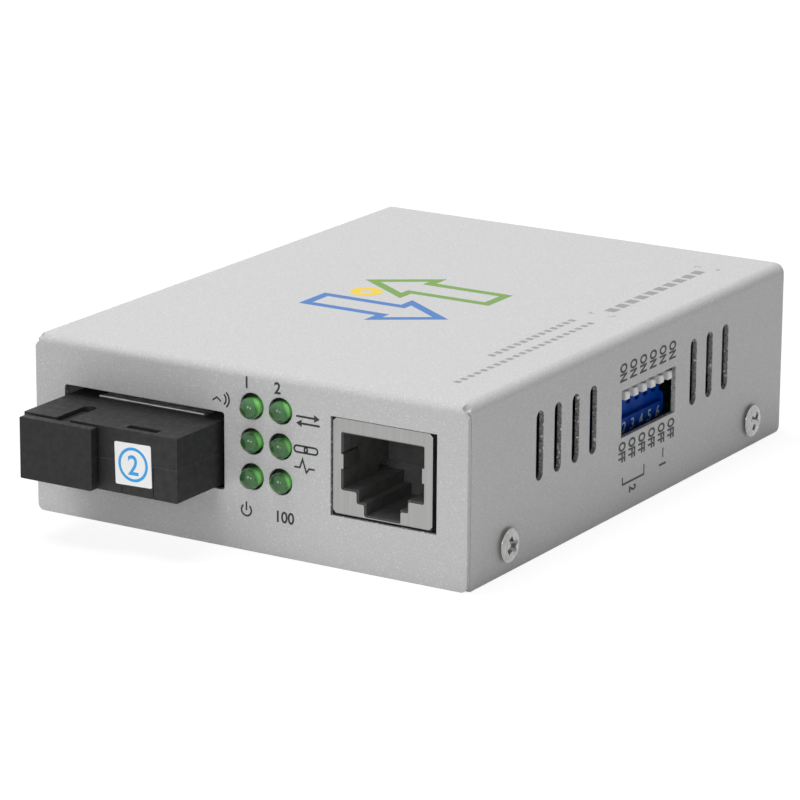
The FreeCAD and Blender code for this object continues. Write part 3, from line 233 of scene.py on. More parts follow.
def fillCuts(tree, entry):
    spot = separate(tree, place(tree))
    turn = separate(tree, facing(tree))
    depth, turned = cutAreas["depth"] * mm, cutAreas["turned"]
    inset = cutAreas["sideInset"] * mm
    sideLevels, frontLevels, jambEnds = (
        [level * mm for level in cutAreas[name]] for name in ("sideLevels", "frontLevels", "jamb"))
    aside = calculate(tree, "ABSOLUTE", spot["X"])
    sideways = calculate(tree, "LESS_THAN", calculate(tree, "ABSOLUTE", turn["X"]), turned)
    forwards = calculate(tree, "LESS_THAN", calculate(tree, "ABSOLUTE", turn["Y"]), turned)
    inSheet = calculate(tree, "GREATER_THAN", aside, side - depth)
    sideArea = multiply(tree, between(tree, spot["Y"], front + inset, -front - inset),
                        between(tree, spot["Z"], *sideLevels))
    sideCut = multiply(tree, multiply(tree, sideways, inSheet), sideArea)
    onFront = calculate(tree, "LESS_THAN", aside, side - cutAreas["frontInset"] * mm)
    frontArea = multiply(tree, between(tree, spot["Y"], front - cutAreas["frontProud"] * mm, front + depth),
                         multiply(tree, onFront, between(tree, spot["Z"], *frontLevels)))
    frontCut = multiply(tree, forwards, frontArea)
    # painted light: cut edges near the window's rear end that face the front
    jamb = multiply(tree, calculate(tree, "LESS_THAN", turn["Y"], -turned),
                    between(tree, spot["Y"], *(front + end for end in jambEnds)))
    return {"Cut": calculate(tree, "MAXIMUM", sideCut, frontCut), "PaintedLitJamb": multiply(tree, sideCut, jamb)}


cuts = makeGroup("sheetCuts", {}, {"Cut": "NodeSocketFloat", "PaintedLitJamb": "NodeSocketFloat"}, fillCuts)

paint = {
    "low": (0.475, 0.475, 0.478, 1), "high": (0.61, 0.61, 0.613, 1), "grains": 5200.0,
    "paintedGlint": (0.92, 0.92, 0.92, 1), "paintedGlintShare": 0.3,
    "edge": (0.72, 0.72, 0.72, 1), "edgeShare": 0.3, "edgeRadius": 0.2 * mm, "edgeBreak": 2500.0,
    "relief": 0.6, "bump": 0.03 * mm, "roughness": 0.46, "roughSpread": 0.06,
    "cutDark": (0.04, 0.04, 0.04, 1), "cutLight": (0.50, 0.495, 0.49, 1), "cutGrains": 3000.0,
    "paintedCutGlint": (1.0, 1.0, 0.98, 1), "paintedCutGlintShare": 0.9,
    "paintedLitJambLow": (0.22, 0.22, 0.215, 1), "paintedLitJambHigh": (0.62, 0.62, 0.61, 1),
}


def makePaint():
    material, tree, shader = newMaterial("casePaint")
    texture = useGroup(tree, grain, Scale=paint["grains"])
    rim = useGroup(tree, edges, Radius=paint["edgeRadius"], Break=paint["edgeBreak"])
    sheet = useGroup(tree, cuts)
    body = blendColours(tree, texture["Fleck"], paint["low"], paint["high"])
    # painted glints: sparse white flecks painted into the paint's colour
    paintedGlints = multiply(tree, texture["PaintedGlint"], paint["paintedGlintShare"])
    # lighter along the edges: partly wear and partly painted highlight
    edgeWearAndHighlight = multiply(tree, rim["Edge"], paint["edgeShare"])
    sparkle = blendColours(tree, paintedGlints, body, paint["paintedGlint"])
    skin = blendColours(tree, edgeWearAndHighlight, sparkle, paint["edge"])
    torn = useGroup(tree, grain, Scale=paint["cutGrains"])
    # cut walls: bare speckled metal, dark partly as painted shade
    slot = blendColours(tree, torn["Fleck"], paint["cutDark"], paint["cutLight"])
    # painted light: a lighter copy of the cut colour on the window's front-facing jamb
    jamb = blendColours(tree, torn["Fleck"], paint["paintedLitJambLow"], paint["paintedLitJambHigh"])
    bare = blendColours(tree, sheet["PaintedLitJamb"], slot, jamb)
    # painted glints: white flecks painted on the cut metal
    paintedCutGlints = multiply(tree, torn["PaintedGlint"], paint["paintedCutGlintShare"])
    sparks = blendColours(tree, paintedCutGlints, bare, paint["paintedCutGlint"])
    rough, smooth = paint["roughness"] + paint["roughSpread"], paint["roughness"] - paint["roughSpread"]
    connect(tree, shader, Base_Color=blendColours(tree, sheet["Cut"], skin, sparks),
            Roughness=spread(tree, texture["Fleck"], 0.0, 1.0, rough, smooth),
            Normal=bumped(tree, texture["Height"], paint["relief"], paint["bump"], rim["Normal"]))
    return material


casePaint = makePaint()


# Metals

metalLook = {
    "edgeRadius": 0.12 * mm, "edgeBreak": 1200.0, "stainShare": 0.3,
    "rougher": 0.08, "smoother": 0.04, "relief": 0.12, "bump": 0.01 * mm,
}


def makeMetal(name, dark, light, roughness, lines=6000.0):
    material, tree, shader = newMaterial(name, Metallic=1.0)
    texture = useGroup(tree, streaks, Scale=lines)
    rim = useGroup(tree, edges, Radius=metalLook["edgeRadius"], Break=metalLook["edgeBreak"])
    body = blendColours(tree, texture["Streak"], dark, light)
    stained = blendColours(tree, multiply(tree, texture["Stain"], metalLook["stainShare"]), body, dark)
    rough, smooth = roughness + metalLook["rougher"], roughness - metalLook["smoother"]
    connect(tree, shader, Base_Color=stained,
            Roughness=spread(tree, texture["Streak"], 0.0, 1.0, rough, smooth),
            Normal=bumped(tree, texture["Streak"], metalLook["relief"], metalLook["bump"], rim["Normal"]))
    return material


nickel = makeMetal("nickelPlate", (0.30, 0.30, 0.295, 1), (0.50, 0.50, 0.49, 1), roughness=0.2)
tinned = makeMetal("tinnedSteel", (0.35, 0.35, 0.345, 1), (0.395, 0.395, 0.39, 1), roughness=0.4,
                   lines=2600.0)
clipMetal = makeMetal("clipMetal", (0.84, 0.84, 0.83, 1), (0.92, 0.92, 0.91, 1), roughness=0.38,
                      lines=1500.0)
pinMetal = makeMetal("tinnedPins", (0.5, 0.5, 0.49, 1), (0.75, 0.75, 0.73, 1), roughness=0.3)
brass = makeMetal("plainBrass", (0.5, 0.42, 0.22, 1), (0.76, 0.66, 0.38, 1), roughness=0.28)
gold = makeMetal("goldPlate", (0.62, 0.46, 0.16, 1), (0.86, 0.68, 0.3, 1), roughness=0.22)
canMetal = makeMetal("canAluminium", (0.48, 0.48, 0.5, 1), (0.7, 0.7, 0.72, 1), roughness=0.3)


# Moulded parts

mouldingLook = {
    "edgeRadius": 0.16 * mm, "edgeBreak": 2600.0, "edgeShare": 0.5,
    "fleckShare": 0.6, "cloudShare": 0.4, "roughSpread": 0.06, "bump": 0.03 * mm,
}


def makeMoulding(name, dark, light, edge, roughness, grains=5000.0, relief=0.25, **constants):
    material, tree, shader = newMaterial(name, **constants)
    texture = useGroup(tree, grain, Scale=grains)
    rim = useGroup(tree, edges, Radius=mouldingLook["edgeRadius"], Break=mouldingLook["edgeBreak"])
    mottle = calculate(tree, "ADD", multiply(tree, texture["Fleck"], mouldingLook["fleckShare"]),
                       multiply(tree, texture["Cloud"], mouldingLook["cloudShare"]))
    body = blendColours(tree, mottle, dark, light)
    # lighter along the edges: partly wear and partly painted highlight
    colour = blendColours(tree, multiply(tree, rim["Edge"], mouldingLook["edgeShare"]), body, edge)
    rough, smooth = roughness + mouldingLook["roughSpread"], roughness - mouldingLook["roughSpread"]
    connect(tree, shader, Base_Color=colour,
            Roughness=spread(tree, texture["Cloud"], 0.0, 1.0, rough, smooth),
            Normal=bumped(tree, texture["Height"], relief, mouldingLook["bump"], rim["Normal"]))
    return material


blackPlastic = makeMoulding("blackMoulding", (0.010, 0.010, 0.0105, 1), (0.026, 0.026, 0.027, 1),
                            (0.18, 0.18, 0.18, 1), roughness=0.55, grains=8000.0,
                            Specular_IOR_Level=0.35)
plugPlastic = makeMoulding("plugMoulding", (0.009, 0.009, 0.0095, 1), (0.020, 0.020, 0.021, 1),
                           (0.14, 0.14, 0.14, 1), roughness=0.5, grains=9000.0,
                           Specular_IOR_Level=0.3)
socketPlastic = makeMoulding("socketMoulding", (0.060, 0.060, 0.060, 1), (0.105, 0.105, 0.105, 1),
                             (0.12, 0.12, 0.12, 1), roughness=0.5, Specular_IOR_Level=0.3)
bluePlastic = makeMoulding("blueMoulding", (0.0, 0.034, 0.26, 1), (0.0, 0.058, 0.37, 1),
                           (0.01, 0.11, 0.55, 1), roughness=0.45, relief=0.08, Specular_IOR_Level=0.04)
whitePlastic = makeMoulding("whiteMoulding", (0.74, 0.74, 0.73, 1), (0.84, 0.84, 0.83, 1),
                            (0.8, 0.8, 0.79, 1), roughness=0.42, relief=0.12)
ceramic = makeMoulding("sleeveCeramic", (0.72, 0.71, 0.67, 1), (0.8, 0.79, 0.75, 1),
                       (0.85, 0.85, 0.82, 1), roughness=0.22, relief=0.05)
epoxy = makeMoulding("chipEpoxy", (0.018, 0.018, 0.019, 1), (0.035, 0.035, 0.037, 1),
                     (0.08, 0.08, 0.08, 1), roughness=0.55)
ferrite = makeMoulding("coilFerrite", (0.05, 0.05, 0.055, 1), (0.10, 0.10, 0.11, 1),
                       (0.16, 0.16, 0.17, 1), roughness=0.6)
mask = makeMoulding("solderMask", (0.006, 0.028, 0.013, 1), (0.010, 0.040, 0.020, 1),
                    (0.06, 0.06, 0.04, 1), roughness=0.4, relief=0.1)

# Painted shade: the switch body's end behind the slots is darkened in its colour
paintedShadeEnd = {"colour": (0.0, 0.001, 0.006, 1), "start": 42.2, "finish": 43.4}  # mm behind the case's front


def paintShadeOnEnd(material):
    tree = material.node_tree
    socket = tree.nodes["Principled BSDF"].inputs["Base Color"]
    source = socket.links[0].from_socket
    y = separate(tree, place(tree))["Y"]
    # painted shade: darker towards the body's front end
    lit = spread(tree, y, front + paintedShadeEnd["start"] * mm, front + paintedShadeEnd["finish"] * mm)
    tree.links.new(blendColours(tree, lit, paintedShadeEnd["colour"], source), socket)


paintShadeOnEnd(bluePlastic)  # the switch body's end that shows dark through the slots


# Green lamps, with painted light and shade by a fixed direction: a painted bright crescent at the upper
# right, painted shade towards the lower left and a painted pale rim at the lower left

lens = {
    "paintedShade": (0.028, 0.095, 0.030, 1), "body": (0.066, 0.22, 0.060, 1), "depth": (-0.35, 0.75),
    "lit": (0.32, 0.92, 0.24, 1), "paintedLightSide": (0.755, 0.569, 0.327), "paintedLightFrom": (0.48, 0.82),
    "rim": (0.26, 0.36, 0.12, 1), "paintedRimSide": (-0.61, -0.55, -0.57), "paintedRimFrom": (0.80, 0.95),
    "cloudScale": 900.0, "cloudShare": 0.25, "roundness": 0.6 * mm, "samples": 16,
    "roughness": 0.05, "refraction": 1.5,
}


def makeLens():
    material, tree, shader = newMaterial("greenLens", Roughness=lens["roughness"], IOR=lens["refraction"])
    dome = addNode(tree, "ShaderNodeBevel", {"Radius": lens["roundness"]}, samples=lens["samples"])
    # painted shade and a painted light crescent, set by how each face turns towards a fixed direction
    across = alignment(tree, facing(tree), lens["paintedLightSide"])
    cloud = multiply(tree, noise(tree, place(tree), lens["cloudScale"]), lens["cloudShare"])
    depth = spread(tree, calculate(tree, "ADD", across, cloud), *lens["depth"])
    paintedShading = blendColours(tree, depth, lens["paintedShade"], lens["body"])
    lit = blendColours(tree, spread(tree, across, *lens["paintedLightFrom"]), paintedShading, lens["lit"])
    # painted pale rim on the faces turned to the lower left
    edge = spread(tree, alignment(tree, facing(tree), lens["paintedRimSide"]), *lens["paintedRimFrom"])
    connect(tree, shader, Base_Color=blendColours(tree, edge, lit, lens["rim"]), Normal=dome.outputs[0])
    return material


lensGreen = makeLens()


# Inks and paper

inkLook = {"roughness": 0.55, "grains": 4200.0, "fadeShare": 0.35, "relief": 0.2, "bump": 0.03 * mm}


def makeInk(name, colour, faded):
    material, tree, shader = newMaterial(name, Roughness=inkLook["roughness"])
    texture = useGroup(tree, grain, Scale=inkLook["grains"])
    fade = multiply(tree, texture["Fleck"], inkLook["fadeShare"])
    connect(tree, shader, Base_Color=blendColours(tree, fade, colour, faded),
            Normal=bumped(tree, texture["Height"], inkLook["relief"], inkLook["bump"]))
    return material


ink = makeInk("darkInk", (0.010, 0.011, 0.013, 1), (0.045, 0.045, 0.048, 1))
greyInk = makeInk("greyInk", (0.27, 0.27, 0.275, 1), (0.38, 0.38, 0.385, 1))
digitInk = makeInk("digitInk", (0.40, 0.47, 0.58, 1), (0.24, 0.32, 0.46, 1))
blueInk = makeInk("blueInk", (0.055, 0.17, 0.45, 1), (0.09, 0.21, 0.46, 1))
greenInk = makeInk("greenInk", (0.15, 0.29, 0.05, 1), (0.18, 0.33, 0.09, 1))
yellowInk = makeInk("yellowInk", (0.80, 0.56, 0.03, 1), (0.82, 0.63, 0.14, 1))
labelInk = makeInk("labelInk", (0.02, 0.36, 0.80, 1), (0.10, 0.44, 0.82, 1))
paper = makeInk("labelPaper", (0.95, 0.95, 0.95, 1), (0.92, 0.92, 0.92, 1))

finishes = {
    casePaint: ["cover", "base_tray"],
    nickel: ["case_screws", "board_screws"],
    brass: ["standoffs"],
    mask: ["circuit_board"],
    blackPlastic: ["optics_lower_housing", "optics_upper_housing", "lamp_holder", "power_socket"],
    socketPlastic: ["jack_insert"],
    plugPlastic: ["dust_plug"],
    ceramic: ["ferrule_sleeve"],
    tinned: ["jack_shield", "power_pin", "crystal"],
    clipMetal: ["earthing_clip"],
    gold: ["jack_contacts"],
    pinMetal: ["optics_pins", "lamp_pins", "switch_leads", "converter_chip_leads",
               "line_transformer_leads", "regulator_leads"],
    bluePlastic: ["switch_body"],
    epoxy: ["converter_chip", "line_transformer", "regulator", "small_components"],
    canMetal: ["capacitors"],
    ferrite: ["power_coil"],
    lensGreen: lampNames,
    whitePlastic: leverNames,
}
for material, names in finishes.items():
    for name in names:
        nodes[name].data.materials.clear()
        nodes[name].data.materials.append(material)
print("CAD nodes finished")


# Mesh building

def asObject(bm, name):
    data = bpy.data.meshes.new(name)
    bm.to_mesh(data)
    bm.free()
    piece = bpy.data.objects.new(name, data)
    bpy.context.scene.collection.objects.link(piece)
    return piece


def keepMesh(name, bm, body, *materials):
    piece = asObject(bm, name)
    for material in materials:
        piece.data.materials.append(material)
    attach(piece, body)
    return piece


def addCurve(bm, curve, matrix, material):
    carrier = bpy.data.objects.new("carrier", curve)
    bpy.context.scene.collection.objects.link(carrier)
    flat = bpy.data.meshes.new_from_object(carrier)
    flat.transform(matrix)
    before = len(bm.faces)
    bm.from_mesh(flat)
    bm.faces.ensure_lookup_table()
    for face in bm.faces[before:]:
        face.material_index = material
    bpy.data.objects.remove(carrier)
    bpy.data.curves.remove(curve)
    bpy.data.meshes.remove(flat)


def addOutlines(bm, loops, matrix, depth, material=0):
    curve = bpy.data.curves.new("outline", "CURVE")
    curve.dimensions = "2D"
    curve.fill_mode = "BOTH"
    curve.extrude = depth / 2
    for loop in loops:
        spline = curve.splines.new("POLY")
        spline.points.add(len(loop) - 1)
        spline.use_cyclic_u = True
        for point, (a, b) in zip(spline.points, loop):
            point.co = (a * mm, b * mm, depth / 2, 1)
    addCurve(bm, curve, matrix, material)


lettering = {"capital": 0.729, "smoothness": 6}  # a capital's height in the font's size


def addText(bm, words, height, matrix, depth, narrow, weight, material=0):
    curve = bpy.data.curves.new("text", "FONT")
    curve.body = words
    curve.size = height * mm / lettering["capital"]
    curve.align_x = "CENTER"
    curve.offset = weight * mm
    curve.extrude = depth / 2
    curve.resolution_u = lettering["smoothness"]
    shift = Matrix.Translation((0, -height * mm / 2, depth / 2))
    addCurve(bm, curve, matrix @ Matrix.Diagonal((narrow, 1, 1, 1)) @ shift, material)


def arcPoints(x, y, radius, start, end, count=24):
    steps = [math.radians(start + (end - start) * i / count) for i in range(count + 1)]
    return [(x + radius * math.cos(a), y + radius * math.sin(a)) for a in steps]


def roundedBox(x, y, width, height, radius, count=8):
    corners = ((1, 1, 0), (-1, 1, 90), (-1, -1, 180), (1, -1, 270))
    points = []
    for signX, signY, start in corners:
        points += arcPoints(signX * (width / 2 - radius), signY * (height / 2 - radius), radius,
                            start, start + 90, count)
    return [(x + a, y + b) for a, b in points]


def ring(x, y, width, height, stroke):
    radius = height / 2
    inner = roundedBox(x, y, width - 2 * stroke, height - 2 * stroke, radius - stroke)
    return [roundedBox(x, y, width, height, radius), inner[::-1]]


def openArc(x, y, radius, start, end, stroke):
    return arcPoints(x, y, radius, start, end) + arcPoints(x, y, radius - stroke, end, start)


def bar(start, end, width):
    a, b = Vector(start), Vector(end)
    across = (b - a).orthogonal().normalized() * width / 2
    return [tuple(a + across), tuple(b + across), tuple(b - across), tuple(a - across)]


def offsetLine(points, shift, closed):
    line = [Vector(point) for point in points]
    count = len(line)
    moved = []
    for number, point in enumerate(line):
        runs = []
        if closed or number > 0:
            runs.append((point - line[number - 1]).normalized())
        if closed or number < count - 1:
            runs.append((line[(number + 1) % count] - point).normalized())
        sides = [run.orthogonal() for run in runs]
        middle = sum(sides, Vector((0, 0))).normalized()
        moved.append(tuple(point + middle * shift / middle.dot(sides[0])))
    return moved


def openStroke(points, width):
    return offsetLine(points, width / 2, False) + offsetLine(points, -width / 2, False)[::-1]


def closedStroke(points, width):
    return [offsetLine(points, width / 2, True), offsetLine(points, -width / 2, True)[::-1]]


def arrow(start, end, width, head, wingShare=0.6):
    a, b = Vector(start), Vector(end)
    run = (b - a).normalized()
    across = run.orthogonal() * width / 2
    neck = b - run * head
    wing = run.orthogonal() * head * wingShare
    corners = (a + across, neck + across, neck + wing, b, neck - wing, neck - across, a - across)
    return [tuple(corner) for corner in corners]


def frontwards(y):
    return Matrix.Translation((0, y, 0)) @ Matrix.Rotation(math.radians(90), 4, "X")


frontPlane = frontwards(front)
sidePlane = Matrix.Translation((side, front, 0)) @ Matrix(
    ((0, 0, 1, 0), (1, 0, 0, 0), (0, 1, 0, 0), (0, 0, 0, 1)))
topPlane = Matrix.Translation((0, front, top))


def at(plane, a, b, turn=0.0):
    return plane @ Matrix.Translation((a * mm, b * mm, 0)) @ Matrix.Rotation(math.radians(turn), 4, "Z")


# Print on the front: plain numbers and signs, in mm from the case's middle and bottom

frontPrint = {
    "depth": 0.008 * mm, "capHeight": 1.65, "narrow": 0.95, "weight": 0.055,
    "numbers": (("1", 0.2, 24.05), ("2", 5.2, 23.95), ("100", 6.3, 5.8)),
    "chevron": [(-5.4, 20.5), (-4.7, 21.0), (-4.0, 20.5), (-4.0, 20.78), (-4.7, 21.3), (-5.4, 20.78)],
    "waves": ((-4.05, 21.0, 1.0, -55, 55), (-4.05, 21.0, 1.5, -50, 50)),
    "pulse": [(7.9, 13.3), (8.8, 13.3), (9.25, 14.5), (9.85, 12.7), (10.3, 13.3), (11.2, 13.3)],
    "arrows": (((8.2, 20.5), (12.0, 20.5)), ((12.0, 19.55), (8.2, 19.55))),
    "arrowWidth": 0.3, "arrowHead": 0.9,
    "links": ((8.95, 15.9), (10.6, 15.9)), "linkSize": (2.4, 1.2),
    "power": (0.1, 5.8, 0.95, 125, 415), "powerBar": ((0.1, 5.75), (0.1, 7.05)),
    "thin": 0.26, "thick": 0.28,
}


def makeFrontPrint():
    bm = bmesh.new()
    depth, thin, thick = frontPrint["depth"], frontPrint["thin"], frontPrint["thick"]
    for words, x, z in frontPrint["numbers"]:
        addText(bm, words, frontPrint["capHeight"], at(frontPlane, x, z), depth, frontPrint["narrow"],
                frontPrint["weight"])
    signs = [[frontPrint["chevron"]]]
    signs += [[openArc(*wave, thin)] for wave in frontPrint["waves"]]
    signs += [[arrow(start, end, frontPrint["arrowWidth"], frontPrint["arrowHead"])]
              for start, end in frontPrint["arrows"]]
    signs += [ring(x, z, *frontPrint["linkSize"], thick) for x, z in frontPrint["links"]]
    signs.append([openStroke(frontPrint["pulse"], thin)])
    signs.append([openArc(*frontPrint["power"], thick)])
    signs.append([bar(*frontPrint["powerBar"], thick)])
    for loops in signs:
        addOutlines(bm, loops, frontPlane, depth)
    keepMesh("frontPrint", bm, "case", ink)


makeFrontPrint()


# Print on the side, in mm from the case's front and bottom:
# ON above each lever, OFF below it, a bracket and a tick, each with its number

sidePrint = {
    "depth": 0.008 * mm, "capHeight": 1.95, "narrow": 0.64, "weight": 0.12,
    "first": 42.95, "pitch": 2.93, "words": (("ON", 20.65), ("OFF", 9.0)),
    "lines": (((49.6, 5.6), (49.6, 4.1)), ((49.7, 4.1), (43.2, 4.1)), ((43.2, 4.0), (43.2, 5.2)),
              ((55.3, 6.6), (55.3, 5.2))),
    "lineWidth": 0.34, "numbers": (("1", 55.3, 4.2), ("2", 46.3, 2.9)), "numberNarrow": 0.7,
}


def makeSidePrint():
    bm = bmesh.new()
    depth, height, weight = sidePrint["depth"], sidePrint["capHeight"], sidePrint["weight"]
    for number in range(len(leverNames)):
        y = sidePrint["first"] + number * sidePrint["pitch"]
        for words, level in sidePrint["words"]:
            addText(bm, words, height, at(sidePlane, y, level, -90), depth, sidePrint["narrow"], weight)
    for start, end in sidePrint["lines"]:
        addOutlines(bm, [bar(start, end, sidePrint["lineWidth"])], sidePlane, depth)
    for words, y, z in sidePrint["numbers"]:
        addText(bm, words, height, at(sidePlane, y, z, -90), depth, sidePrint["numberNarrow"], weight)
    keepMesh("sidePrint", bm, "case", ink)


makeSidePrint()


# Print on the top, in mm from the case's middle and front:
# two coloured arrows and a ring, rows of grey blocks and corner ticks

topMark = {
    "depth": 0.006 * mm, "stroke": 1.45, "ring": (-8.4, 44.6), "ringSize": 4.8,
    "arrows": (
        [(-12.4, 34.4), (0.6, 34.4), (0.6, 31.9), (8.6, 37.2), (0.6, 42.5), (0.6, 40.0), (-12.4, 40.0)],
        [(10.0, 47.8), (-3.0, 47.8), (-3.0, 45.3), (-11.0, 50.6), (-3.0, 55.9), (-3.0, 53.4), (10.0, 53.4)],
    ),
}


def makeTopMark():
    bm = bmesh.new()
    depth, stroke, size = topMark["depth"], topMark["stroke"], topMark["ringSize"]
    for number, points in enumerate(topMark["arrows"]):
        addOutlines(bm, closedStroke(points, stroke), topPlane, depth, number)
    addOutlines(bm, ring(*topMark["ring"], size, size, stroke), topPlane, depth, len(topMark["arrows"]))
    keepMesh("topMark", bm, "case", blueInk, greenInk, yellowInk)


makeTopMark()

topPrint = {
    "depth": 0.006 * mm, "tickLength": 0.9, "tickWidth": 0.25,
    "rows": (  # across, start, end, how many, length and width of a block
        (24.9, 23.3, 46.8, 14, 1.0, 1.1),
        (27.9, 9.0, 46.8, 22, 1.0, 1.0),
        (26.9, 53.6, 82.0, 10, 2.0, 1.7),
    ),
    "ticks": ((24.8, 51.2, 1, 1), (28.9, 51.2, -1, 1), (24.8, 84.5, 1, -1), (28.9, 84.5, -1, -1)),
}


def makeTopPrint():
    bm = bmesh.new()
    depth = topPrint["depth"]
    for x, start, end, count, length, width in topPrint["rows"]:
        step = (end - start - length) / (count - 1)
        for number in range(count):
            y = start + number * step
            addOutlines(bm, [bar((x, y), (x, y + length), width)], topPlane, depth)
    long, wide = topPrint["tickLength"], topPrint["tickWidth"]
    for x, y, signX, signY in topPrint["ticks"]:
        corners = ((0, 0), (long, 0), (long, wide), (wide, wide), (wide, long), (0, long))
        tick = [(x + signX * a, y + signY * b) for a, b in corners]
        addOutlines(bm, [tick], topPlane, depth)
    keepMesh("topPrint", bm, "case", greyInk)


makeTopPrint()
print("printing made")


# Paper label on the module's front

label = {
    "x": -11.35, "z": 13.05, "turn": 1.5, "size": 6.0, "corner": 0.25, "thick": 0.06 * mm,
    "ring": 4.9, "stroke": 0.42, "inkDepth": 0.004 * mm,
    "number": "2", "height": 2.9, "narrow": 0.95, "weight": 0.05,
}


def makeLabel():
    plane = frontwards(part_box("optics_lower_housing")[0].y)
    here = at(plane, label["x"], label["z"], label["turn"])
    above = here @ Matrix.Translation((0, 0, label["thick"]))
    bm = bmesh.new()
    addOutlines(bm, [roundedBox(0, 0, label["size"], label["size"], label["corner"])], here, label["thick"])
    addOutlines(bm, ring(0, 0, label["ring"], label["ring"], label["stroke"]), above, label["inkDepth"], 1)
    addText(bm, label["number"], label["height"], above, label["inkDepth"], label["narrow"],
            label["weight"], 1)
    keepMesh("moduleLabel", bm, "case", paper, labelInk)


makeLabel()


# Digits on the switch, bent round its lower edge

switchDigits = {
    "height": 1.85, "narrow": 0.98, "weight": 0.035, "depth": 0.004 * mm, "lift": 0.012 * mm,
    "first": 44.22, "pitch": 2.54, "level": 11.45, "bend": 11.4, "radius": 1.4,
}


def makeSwitchDigits():
    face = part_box("switch_body")[1].x
    plane = sidePlane @ Matrix.Translation((0, 0, face - side + switchDigits["lift"]))
    bm = bmesh.new()
    for number in range(len(leverNames)):
        y = switchDigits["first"] + number * switchDigits["pitch"]
        addText(bm, str(number + 1), switchDigits["height"], at(plane, y, switchDigits["level"]),
                switchDigits["depth"], switchDigits["narrow"], switchDigits["weight"])
    bend, radius = switchDigits["bend"] * mm, switchDigits["radius"] * mm
    for vert in bm.verts:
        if vert.co.z < bend:
            angle = (bend - vert.co.z) / radius
            reach = radius + vert.co.x - face
            vert.co.z = bend - reach * math.sin(angle)
            vert.co.x = face - radius + reach * math.cos(angle)
    keepMesh("switchDigits", bm, "case", digitInk)


makeSwitchDigits()
print("label and digits made")


# Case screws with a cross recess

screw = {
    "radius": 2.4, "rise": 0.8, "shank": 1.47, "length": 4.5, "tip": 0.3, "segments": 48, "weld": 0.001 * mm,
    "head": ((0.0, 1.0), (0.5, 0.97), (0.76, 0.86), (0.92, 0.7), (1.0, 0.5), (1.0, 0.4), (0.74, 0.0)),
    "crossLength": 3.2, "crossWidth": 0.95, "crossDepth": 1.0, "crossAbove": 0.2,
    "crossMouth": 1.05, "crossFoot": 0.4, "turns": (28.0, 62.0, 15.0, 80.0), "smoothBelow": 35,
}


def makeBlank(height):
    radius, shank, length, tip = (screw[name] for name in ("radius", "shank", "length", "tip"))
    profile = [(radius * across, height * up) for across, up in screw["head"]]
    profile += [(shank, 0.0), (shank, tip - length), (shank - tip, -length), (0.0, -length)]
    bm = bmesh.new()
    line = [bm.verts.new((across * mm, 0, up * mm)) for across, up in profile]
    steps = [bm.edges.new(pair) for pair in zip(line, line[1:])]
    bmesh.ops.spin(bm, geom=line + steps, cent=(0, 0, 0), axis=(0, 0, 1), angle=math.tau,
                   steps=screw["segments"])
    bmesh.ops.remove_doubles(bm, verts=bm.verts, dist=screw["weld"])
    bmesh.ops.recalc_face_normals(bm, faces=bm.faces)
    return asObject(bm, "screwBlank")


def makeCrossTool(height, turn):
    turned = Matrix.Rotation(math.radians(turn), 4, "Z")
    mouth = (height + screw["crossAbove"], screw["crossMouth"])
    foot = (height - screw["crossDepth"], screw["crossFoot"])
    bm = bmesh.new()
    for level, share in (mouth, foot):
        for signX in (-1, 1):
            for signY in (-1, 1):
                x = signX * screw["crossLength"] / 2 * share
                y = signY * screw["crossWidth"] / 2 * (0.5 + share / 2)
                bm.verts.new(turned @ Vector((x * mm, y * mm, level * mm)))
    bmesh.ops.convex_hull(bm, input=bm.verts)
    return asObject(bm, "crossTool")


def makeScrewMesh(height):
    head = makeBlank(height)
    for turn in (0, 90):
        tool = makeCrossTool(height, turn)
        cutter = head.modifiers.new("cross", "BOOLEAN")
        cutter.object = tool
        cutter.operation = "DIFFERENCE"
        cutter.solver = "EXACT"
        bpy.context.view_layer.update()
        made = bpy.data.meshes.new_from_object(head.evaluated_get(bpy.context.evaluated_depsgraph_get()))
        head.modifiers.clear()
        head.data = made
        bpy.data.objects.remove(tool)
    data = head.data
    bpy.data.objects.remove(head)
    return data


def makeScrews():
    low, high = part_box("case_screws")
    blank = makeScrewMesh((high.x - side) / mm * screw["rise"])
    radius, level = screw["radius"] * mm, (low.z + high.z) / 2
    places = [(sign, y) for sign in (1, -1) for y in (low.y + radius, high.y - radius)]
    bm = bmesh.new()
    for (sign, y), turn in zip(places, screw["turns"]):
        data = blank.copy()
        outwards = Matrix.Rotation(math.radians(90 * sign), 4, "Y")
        turned = Matrix.Rotation(math.radians(turn), 4, "Z")
        data.transform(Matrix.Translation((sign * side, y, level)) @ outwards @ turned)
        bm.from_mesh(data)
        bpy.data.meshes.remove(data)
    for edge in bm.edges:
        edge.smooth = edge.is_manifold and edge.calc_face_angle(0) < math.radians(screw["smoothBelow"])
    for face in bm.faces:
        face.smooth = True
    made = keepMesh("caseScrewHeads", bm, "case", nickel)
    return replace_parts(made, "case_screws")


makeScrews()
print("screws made")


# Floor and sky, white to the camera and in reflections

floor = {"size": 6.0, "below": 0.02 * mm, "colour": (0.90, 0.90, 0.90, 1), "whiteShare": 0.82,
         "glow": (1, 1, 1, 1), "glowStrength": 1.09}


def showing(tree):
    rays = addNode(tree, "ShaderNodeLightPath").outputs
    mirrored = calculate(tree, "MAXIMUM", rays["Is Glossy Ray"], rays["Is Transmission Ray"])
    return calculate(tree, "MAXIMUM", rays["Is Camera Ray"], mirrored)


